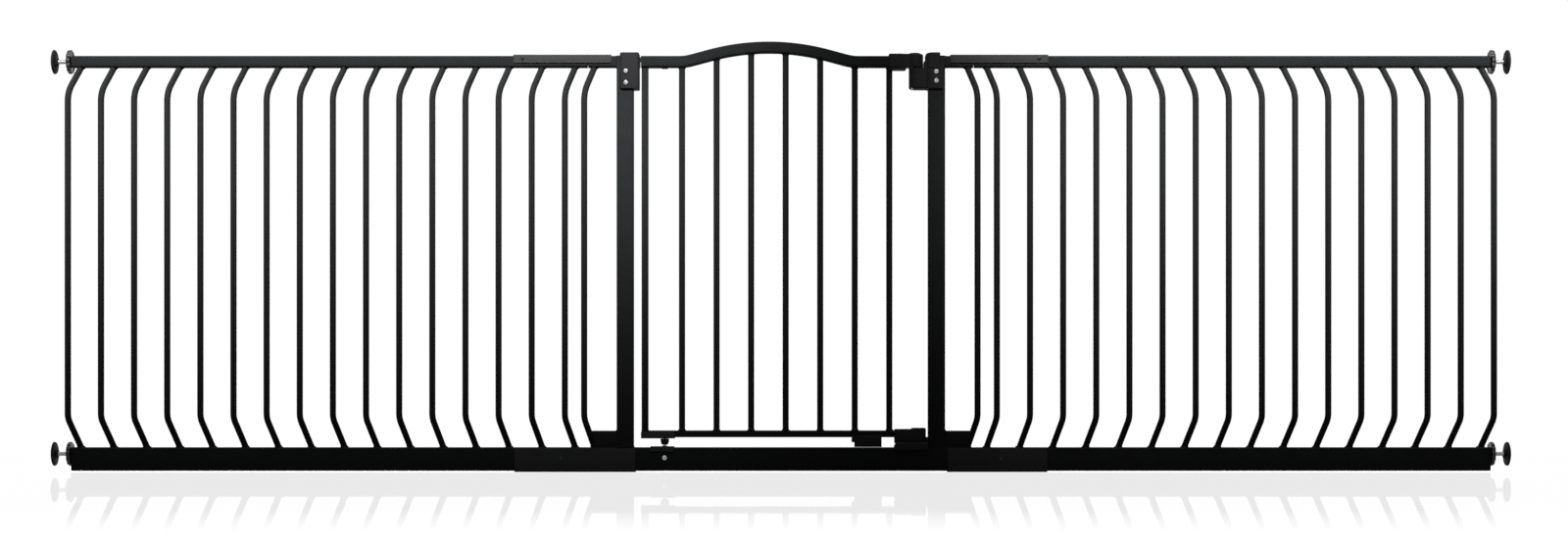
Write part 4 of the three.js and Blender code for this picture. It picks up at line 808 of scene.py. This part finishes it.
PIN_STEM = 0.004
PIN_NECK = 0.003
PIN_FLANGE = 0.0009
BUSH_BORE = 0.0034
BUSH_FOOT = 0.0056
SHOE_WALL = 0.0018
SHOE_EASE = 0.005
SHOE_END = 0.0007
plate_low, plate_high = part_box("lower_pivot_plate")
plate_under, front_in = base_rail_top + SLACK, plate_low.y + SHEET
plate_ring = outline(
    [(plate_low.y, plate_low.z), (front_in, plate_low.z), (front_in, plate_under),
     (plate_high.y, plate_under), (plate_high.y, plate_high.z), (plate_low.y, plate_high.z)],
    [0.0004, 0.0004, 0.0003, 0.0004, 0.0004, 0.0014], 4)
piece("lower_pivot_folded_plate", "gate_frame", satin_sheet,
      [block(plate_ring, "x", plate_low.x, plate_high.x, SHEET_EDGE)], ["lower_pivot_plate"])
screw("lower_pivot_screw", bright_zinc)

low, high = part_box("lower_pivot_pin")
pivot_x, flange = (low.x + high.x) / 2, (high.x - low.x) / 2
seat = plate_high.z + SLACK
line = profile(
    [(AXIS_POINT, low.z), (PIN_STEM, low.z), (PIN_STEM, seat), (flange, seat),
     (flange, seat + PIN_FLANGE), (PIN_NECK, seat + PIN_FLANGE), (PIN_NECK, high.z),
     (AXIS_POINT, high.z)],
    [0.0004, 0.0002, 0.0003, 0.0003, 0.0003, 0.0005])
piece("lower_pivot_turned_pin", "gate_frame", bright_zinc,
      [turned(line, "z", (pivot_x, 0))], ["lower_pivot_pin"])

low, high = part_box("lift_bush")
radius = (high.x - low.x) / 2
line = outline(
    [(BUSH_BORE, low.z), (BUSH_FOOT, low.z), (radius - 0.0004, low.z + 0.0050), (radius, high.z),
     (BUSH_BORE, high.z)],
    [0.0003, 0.0016, 0.0040, 0.0006, 0.0003], 4)
piece("lift_bush_turned", "lift_carriage", black_nylon,
      [turned(line, "z", (pivot_x, 0), 48, looped=True)], ["lift_bush"])

low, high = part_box("lower_hinge_shoe")
end_ring = oblong(low.y, high.y, low.z, high.z, [FOLD, FOLD, 0.001, 0.001], 4)
piece("lower_hinge_folded_shoe", "door", satin_sheet, [
    eased_block(channel(low, high, True, SHOE_WALL, 0.0005, 0.0006), low.x, high.x, SHEET_EDGE,
                SHOE_EASE, (high.x,), high.z),
    block(end_ring, "x", low.x, low.x + SHOE_END, SHEET_EDGE),
], ["lower_hinge_shoe"])

# ---- Door ----
# One welded grille: a square top rail bent into a low arch, a slim stile, a small lower rail, and
# seven round bars. The rail's open left end is cut away behind, where the hinge arm enters.

ARCH_CENTRE = -0.0214
ARCH_RISE = 0.0255
ARCH_SLOPE = math.radians(15)
CROWN_RADIUS = 0.400
HAUNCH_RADIUS = 0.090
CUT_END = 0.0058  # the cut end reaches this far past the pivot
IN_SLEEVE = 0.028  # the rail's right end, from the handle's left one
DOOR_BARS = 7
DOOR_FIRST_BAR = 0.0726
DOOR_LAST_BAR = 0.0451
FOOT_RAIL = 0.0122
LUG_OVERLAP = 0.010
STILE = 0.012
STILE_IN = 0.001
SLIM_CORNER = 0.0025
SLIM_WELD = 0.0010
SLIM_LIFT = 0.0002
PIN_HEAD = 0.0018
door_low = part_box("door_frame")[0]
handle_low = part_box("handle_housing")[0]


def arch_half():
    """Run and height of half the arch from its crown: R sin a, rise - R (1 - cos a) over the crown
    arc, then a straight slope, then r sin a and r (1 - cos a) back from the level end."""
    t = np.linspace(0, ARCH_SLOPE, 13)
    crown = np.stack([CROWN_RADIUS * np.sin(t), ARCH_RISE - CROWN_RADIUS * (1 - np.cos(t))], axis=1)
    haunch_run, haunch_rise = HAUNCH_RADIUS * np.sin(t), HAUNCH_RADIUS * (1 - np.cos(t))
    slope_run = (crown[-1, 1] - haunch_rise[-1]) / math.tan(ARCH_SLOPE)
    span = crown[-1, 0] + slope_run + haunch_run[-1]
    haunch = np.stack([span - haunch_run, haunch_rise], axis=1)[::-1]
    return np.concatenate([crown, haunch])


def swept_tube(ring, path, edge=RAIL_EDGE):
    """A drawn outline swept along a path, with a small chamfer at both ends."""
    ahead = (path[1] - path[0]) / np.linalg.norm(path[1] - path[0]) * edge
    back = (path[-2] - path[-1]) / np.linalg.norm(path[-2] - path[-1]) * edge
    longer = np.concatenate([path[:1], [path[0] + ahead], path[1:-1], [path[-1] + back], path[-1:]])
    rings = swept(ring, longer)
    rings[[0, -1]] = swept(inset(ring, edge), longer)[[0, -1]]
    return joined_rings(rings)


half = arch_half()
whole = np.concatenate([(half * (-1, 1))[::-1], half[1:]]) + (ARCH_CENTRE, top_rail_mid)
cut_end = pivot_x + CUT_END
rail_end = handle_low.x + IN_SLEEVE
whole = np.concatenate([[(cut_end, top_rail_mid)], whole, [(rail_end, top_rail_mid)]])
rail_line = np.stack([whole[:, 0], whole[:, 0] * 0, whole[:, 1]], axis=1)
open_ring = outline(
    [(-half_top, top_rail_z), (half_top, top_rail_z), (half_top, top_rail_z + WALL),
     (WALL - half_top, top_rail_z + WALL), (WALL - half_top, rail_top - WALL),
     (half_top, rail_top - WALL), (half_top, rail_top), (-half_top, rail_top)],
    [RAIL_CORNER, 0.0005, 0.0005, 0.001, 0.001, 0.0005, 0.0005, RAIL_CORNER])
stile_left = door_low.x + STILE_IN
foot_z, foot_top = door_low.z, door_low.z + FOOT_RAIL
foot_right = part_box("latch_lug")[0].x + LUG_OVERLAP
stile_ring = oblong(stile_left, stile_left + STILE, -STILE / 2, STILE / 2, SLIM_CORNER)
foot_ring = oblong(-FOOT_RAIL / 2, FOOT_RAIL / 2, foot_z, foot_top, SLIM_CORNER)
stile_joint = inset(stile_ring, SLACK)
door_surfaces = [
    block(open_ring, "x", door_low.x, cut_end + HAIR, 0.0004, HAIR),
    swept_tube(oblong(-half_top, half_top, -half_top, half_top), rail_line),
    block(stile_ring, "z", foot_z, top_rail_z + WALL),
    block(foot_ring, "x", stile_left, foot_right),
    weld(stile_joint, "z", top_rail_z - SLIM_LIFT, SLIM_WELD),
    weld(stile_joint, "z", foot_top + SLIM_LIFT, SLIM_WELD),
]
for bar_x in np.linspace(door_low.x + DOOR_FIRST_BAR, latch_x - DOOR_LAST_BAR, DOOR_BARS):
    head = float(np.interp(bar_x, rail_line[:, 0], rail_line[:, 2])) - half_top
    line = np.array([(bar_x, 0, foot_top - WALL), (bar_x, 0, head + WALL)])
    door_surfaces.append(welded_bar(line, (foot_top, head)))
piece("door_grille", "door", powder_coat, door_surfaces, ["door_frame"])

low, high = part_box("top_hinge_pin")
radius = (high.x - low.x) / 2
line = profile(
    [(AXIS_POINT, low.z), (radius, low.z), (radius, low.z + PIN_HEAD), (PIN_NECK, low.z + PIN_HEAD),
     (PIN_NECK, high.z), (AXIS_POINT, high.z)],
    [0.0010, 0.0003, 0.0002, 0.0004])
piece("top_hinge_headed_pin", "door", black_oxide,
      [turned(line, "z", (pivot_x, 0))], ["top_hinge_pin"])

# ---- Handle ----
# A moulded nylon sleeve over the rail's right end that narrows to a waist and swells into a round
# boss. The boss rises round a smooth release button on a coil spring, above the steel latch pin.

HOUSING_HEIGHT = 0.0035  # above the rail
SKIRT_RUN_IN = 0.002
SLEEVE_HALF = 0.014
SLEEVE_CORNER = 0.004
WAIST_HALF = 0.012
WAIST_X = 0.0155  # the waist, from the latch
WAIST_END = 0.004
TAPER = 0.012
BOSS_RADIUS = 0.015
BOSS_FROM = math.radians(52)
SKIRT_CORNER = 0.0035
BUTTON_HEIGHT = 0.007
BUTTON_STEM = 0.002
BUTTON_GAP = 0.0004
BUTTON_COLLAR = 0.0018
SPRING_TURNS = 3
WIRE = 0.0005


def handle_ring():
    """The plan of the handle: half-width w(x) runs from the rounded end of the sleeve through the
    waist into the boss's circle, and the ring goes along the front and back along the rear."""
    left = handle_low.x
    x = np.concatenate([
        np.linspace(left, left + SLEEVE_CORNER, 9),
        np.linspace(left + SLEEVE_CORNER, latch_x + BOSS_RADIUS, 70)[1:-12],
    ])
    boss = arc(latch_x, BOSS_RADIUS, BOSS_FROM, 0, 14)
    x = x[x < boss[0, 0]]
    sleeve = SLEEVE_HALF - corner_drop(SLEEVE_CORNER, x - left)
    share = np.clip((x - (latch_x - WAIST_X - TAPER)) / TAPER, 0, 1)
    share = share ** 2 * (3 - 2 * share)
    width = sleeve + (WAIST_HALF - SLEEVE_HALF) * share
    circle_width = np.sqrt(np.clip(BOSS_RADIUS ** 2 - (x - latch_x) ** 2, 0, None))
    width = np.maximum(width * (x < latch_x - WAIST_END), circle_width)
    front = np.concatenate([np.stack([x, -width], axis=1), boss * (1, -1)])
    return np.concatenate([front, (front * (1, -1))[::-1][1:]])


low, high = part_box("release_button")
radius = (high.x - low.x) / 2
housing_top = rail_top + HOUSING_HEIGHT
collar, collar_top = radius + BUTTON_GAP, housing_top + BUTTON_COLLAR
skirt_ring = oblong(handle_low.x, latch_x - WAIST_X, -WAIST_HALF, WAIST_HALF, SKIRT_CORNER)
dome = outline(
    [(collar, housing_top - 0.001), (BOSS_RADIUS - 0.0022, housing_top - 0.001),
     (BOSS_RADIUS - 0.0026, housing_top - 0.0001), (0.0112, housing_top + 0.0006),
     (0.0092, collar_top), (collar, collar_top)],
    [0.0002, 0.0004, 0.0006, 0.0020, 0.0010, 0.0004])
piece("handle_moulding", "door", black_nylon, [
    block(handle_ring(), "z", top_rail_z, housing_top, 0.0012, 0.0024, 5),
    block(skirt_ring, "z", handle_low.z, top_rail_z + SKIRT_RUN_IN, 0.0015, HAIR, 5),
    turned(dome, "z", (latch_x, 0), 64, looped=True),
], ["handle_housing"])

under = high.z - BUTTON_HEIGHT
line = profile(
    [(AXIS_POINT, low.z), (BUTTON_STEM, low.z), (BUTTON_STEM, under), (radius, under),
     (radius, high.z - 0.0002), (radius * 0.45, high.z), (AXIS_POINT, high.z - 0.0003)],
    [0.0003, 0.0003, 0.0004, 0.0013, 0.0030])
piece("release_button_cap", "button", smooth_plastic,
      [turned(line, "z", (latch_x, 0), 56)], ["release_button"])

low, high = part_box("button_spring")
coil = (high.x - low.x) / 2 - WIRE
share = np.linspace(0, 1, SPRING_TURNS * 40 + 1)
angle = share * SPRING_TURNS * 2 * math.pi
spring_path = np.stack([
    (low.x + high.x) / 2 + coil * np.cos(angle), coil * np.sin(angle),
    low.z + WIRE + share * (high.z - low.z - 2 * WIRE)], axis=1)
spring = piece("button_coil_spring", "door", bright_zinc,
               [joined_rings(swept(circle(WIRE, 10), spring_path, (0, 0, 1)))], ["button_spring"])
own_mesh(spring)
piece("latch_pin_rod", "door", bright_zinc, [pin("latch_pin", 0.0008)], ["latch_pin"])

# ---- Lower catch and stop ----
# A nylon lug on the end of the door's lower rail drops its nose behind the front wall of a nylon
# strike on the base rail. A nylon stop with a front lip stands under the lower rail beside it.

LUG_NOSE = 0.0245
NOSE_STEP = 0.0015
LUG_UNDER, LUG_OVER = 0.0010, 0.0020  # the lug's arm is thinner than its nose
STRIKE_LAP = 0.003  # the nose stands this far down behind the strike's wall
STRIKE_FLOOR = 0.0024
STRIKE_GAP = 0.0006
STRIKE_EASE = 0.006
CHEEK = 0.003
CHEEK_IN = 0.0002
STOP_STEP = 0.005
LIP_LAP = 0.0010


def seen_from_front(corners, radii):
    """An outline given in (x, z), anticlockwise as seen from the front, in a block's y order."""
    return outline([(z, x) for x, z in corners[::-1]], radii[::-1])


low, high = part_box("latch_lug")
lug_left, nose_left = foot_right + SLACK, high.x - LUG_NOSE
strike_top, wall_back = low.z + STRIKE_LAP, low.y - STRIKE_GAP
body_z, body_top = strike_top - LUG_UNDER, high.z - LUG_OVER
lug_ring = seen_from_front(
    [(lug_left, body_z), (nose_left, body_z), (nose_left, low.z), (high.x, low.z), (high.x, high.z),
     (nose_left, high.z), (nose_left - NOSE_STEP, body_top), (lug_left, body_top)],
    [0.0016, 0.0012, 0.0028, 0.0045, 0.0030, 0.0010, 0.0010, 0.0016])
piece("latch_lug_moulding", "door", black_nylon,
      [block(lug_ring, "y", low.y, high.y, 0.0010)], ["latch_lug"])

low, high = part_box("strike")
seat, lip_back = base_rail_top + SLACK, -half_base - SLACK
strike_ring = outline(
    [(low.y, low.z), (lip_back, low.z), (lip_back, seat), (high.y, seat),
     (high.y, seat + STRIKE_FLOOR), (wall_back, seat + STRIKE_FLOOR), (wall_back, strike_top),
     (low.y, strike_top)],
    [0.0008, 0.0004, 0.0003, 0.0006, 0.0006, 0.0008, 0.0010, 0.0022], 4)
cheek_ring = oblong(low.y + CHEEK_IN, high.y - CHEEK_IN, seat + 0.0005, high.z, 0.0022)
piece("strike_moulding", "gate_frame", black_nylon, [
    eased_block(strike_ring, low.x, high.x, 0.0004, STRIKE_EASE, (low.x,), strike_top, 12),
    block(cheek_ring, "x", high.x - CHEEK, high.x - CHEEK_IN),
], ["strike"])

low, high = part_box("door_stop")
stop_top, stop_lip = foot_z - SLACK, -FOOT_RAIL / 2 - SLACK
middle, step_x = (low.z + stop_top) / 2, low.x + STOP_STEP
stop_surfaces = []
for top, front, back, shrink in ((high.z, low.y, stop_lip, 0.0),
                                 (stop_top, stop_lip - LIP_LAP, high.y, HAIR)):
    stop_ring = seen_from_front(
        [(step_x, low.z), (high.x, low.z), (high.x, top), (low.x, top), (low.x, middle),
         (step_x, middle)],
        [0.0012, 0.0008, 0.0016, 0.0016, 0.0012, 0.0008])
    stop_surfaces.append(block(inset(stop_ring, shrink), "y", front, back, 0.0004))
piece("door_stop_moulding", "gate_frame", black_nylon, stop_surfaces,
      ["door_stop"])

# ---- Studio ----
# A white floor under soft light. It is painted white with a faint polish, so that it keeps the
# gate's soft shadow and a dim reflection of its bars. Two softboxes hang above and in front.

FLOOR_REACH = 14.0
FLOOR_GLOW = 0.76
FLOOR_POLISH = 0.22
POLISH_FROM, POLISH_FULL = -3.45, -2.9  # the mirror comes in over this stretch in front
POLISH_ROUGHNESS = 0.012
FLOOR_WHITE, FLOOR_DULL = (0.80, 0.80, 0.80, 1), (0.12, 0.12, 0.12, 1)
ROOM_SEEN, ROOM_LIGHT = 1.0, 0.04


def lamp(name, kind, place, aim, energy, **settings):
    """A lamp at a place, turned towards its aim."""
    made = bpy.data.lights.new(name, kind)
    made.energy = energy
    for key, value in settings.items():
        setattr(made, key, value)
    holder = bpy.data.objects.new(name, made)
    holder.location = place
    holder.rotation_euler = (Vector(aim) - Vector(place)).to_track_quat("-Z", "Y").to_euler()
    bpy.context.scene.collection.objects.link(holder)


def white_to(tree):
    """One for the rays that see the white room: camera, glossy and transmission rays."""
    path = new_node(tree, "ShaderNodeLightPath", {}).outputs
    either = new_node(tree, "ShaderNodeMath", {
        0: path["Is Camera Ray"], 1: path["Is Glossy Ray"]}, operation="MAXIMUM")
    return new_node(tree, "ShaderNodeMath", {
        0: either, 1: path["Is Transmission Ray"]}, operation="MAXIMUM")


def white_floor():
    """White paint that keeps the shadow, a steady glow that brings it up to white, and a faint
    mirror over both, which fades out towards the front. What is seen directly, mirrored or through
    something is so bright: to the gate's own light it is a dull grey floor."""
    material = bpy.data.materials.new("white sweep")
    material.use_nodes = True
    tree = material.node_tree
    tree.nodes.remove(tree.nodes["Principled BSDF"])
    paint = new_node(tree, "ShaderNodeBsdfDiffuse", {"Color": FLOOR_WHITE})
    glow = new_node(tree, "ShaderNodeEmission", {"Strength": FLOOR_GLOW})
    both = new_node(tree, "ShaderNodeAddShader", {0: paint, 1: glow})
    polish = new_node(tree, "ShaderNodeBsdfGlossy", {"Roughness": POLISH_ROUGHNESS})
    place = new_node(tree, "ShaderNodeTexCoord", {}).outputs["Object"]
    depth = new_node(tree, "ShaderNodeSeparateXYZ", {0: place}).outputs["Y"]
    fade = new_node(tree, "ShaderNodeMapRange", {
        "Value": depth, "From Min": POLISH_FROM, "From Max": POLISH_FULL, "To Max": FLOOR_POLISH})
    white = new_node(tree, "ShaderNodeMixShader", {0: fade, 1: both, 2: polish})
    dull = new_node(tree, "ShaderNodeBsdfDiffuse", {"Color": FLOOR_DULL})
    final = new_node(tree, "ShaderNodeMixShader", {0: white_to(tree), 1: dull, 2: white})
    feed(tree.nodes["Material Output"], {"Surface": final})
    return material


mesh = bpy.data.meshes.new("studio floor")
mesh.from_pydata([(x * FLOOR_REACH, y * FLOOR_REACH, 0)
                  for x, y in ((-1, -1), (1, -1), (1, 1), (-1, 1))], [], [(0, 1, 2, 3)])
mesh.materials.append(white_floor())
floor = bpy.data.objects.new("studio floor", mesh)
bpy.context.scene.collection.objects.link(floor)

world = bpy.data.worlds.new("white room")
bpy.context.scene.world = world
world.use_nodes = True
room = world.node_tree
strength = new_node(room, "ShaderNodeMapRange", {
    "Value": white_to(room), "To Min": ROOM_LIGHT, "To Max": ROOM_SEEN})
feed(room.nodes["Background"], {"Color": (1, 1, 1, 1), "Strength": strength})

lamp("overhead glow", "SUN", (0, -0.001, 3), (0, 0, 0), 1.0, angle=math.radians(30))
for name, middle, length, energy in (("left softbox", -1.075, 2.15, 9.0),
                                     ("right softbox", 1.25, 1.80, 7.7)):
    lamp(name, "AREA", (middle, -0.80, 1.30), (middle, 0, 0.60), energy, shape="RECTANGLE",
         size=length, size_y=0.30, spread=math.radians(34))

camera = bpy.data.cameras.new("camera")
camera.lens = 59.5
camera.sensor_width = 36
camera.shift_x = 0.002
camera.shift_y = 0.1105
viewer = bpy.data.objects.new("camera", camera)
viewer.location = (0, -4.6, 0.04)
viewer.rotation_euler = (math.radians(90), 0, 0)
bpy.context.scene.collection.objects.link(viewer)
bpy.context.scene.camera = viewer
bpy.context.scene.view_settings.view_transform = "Standard"
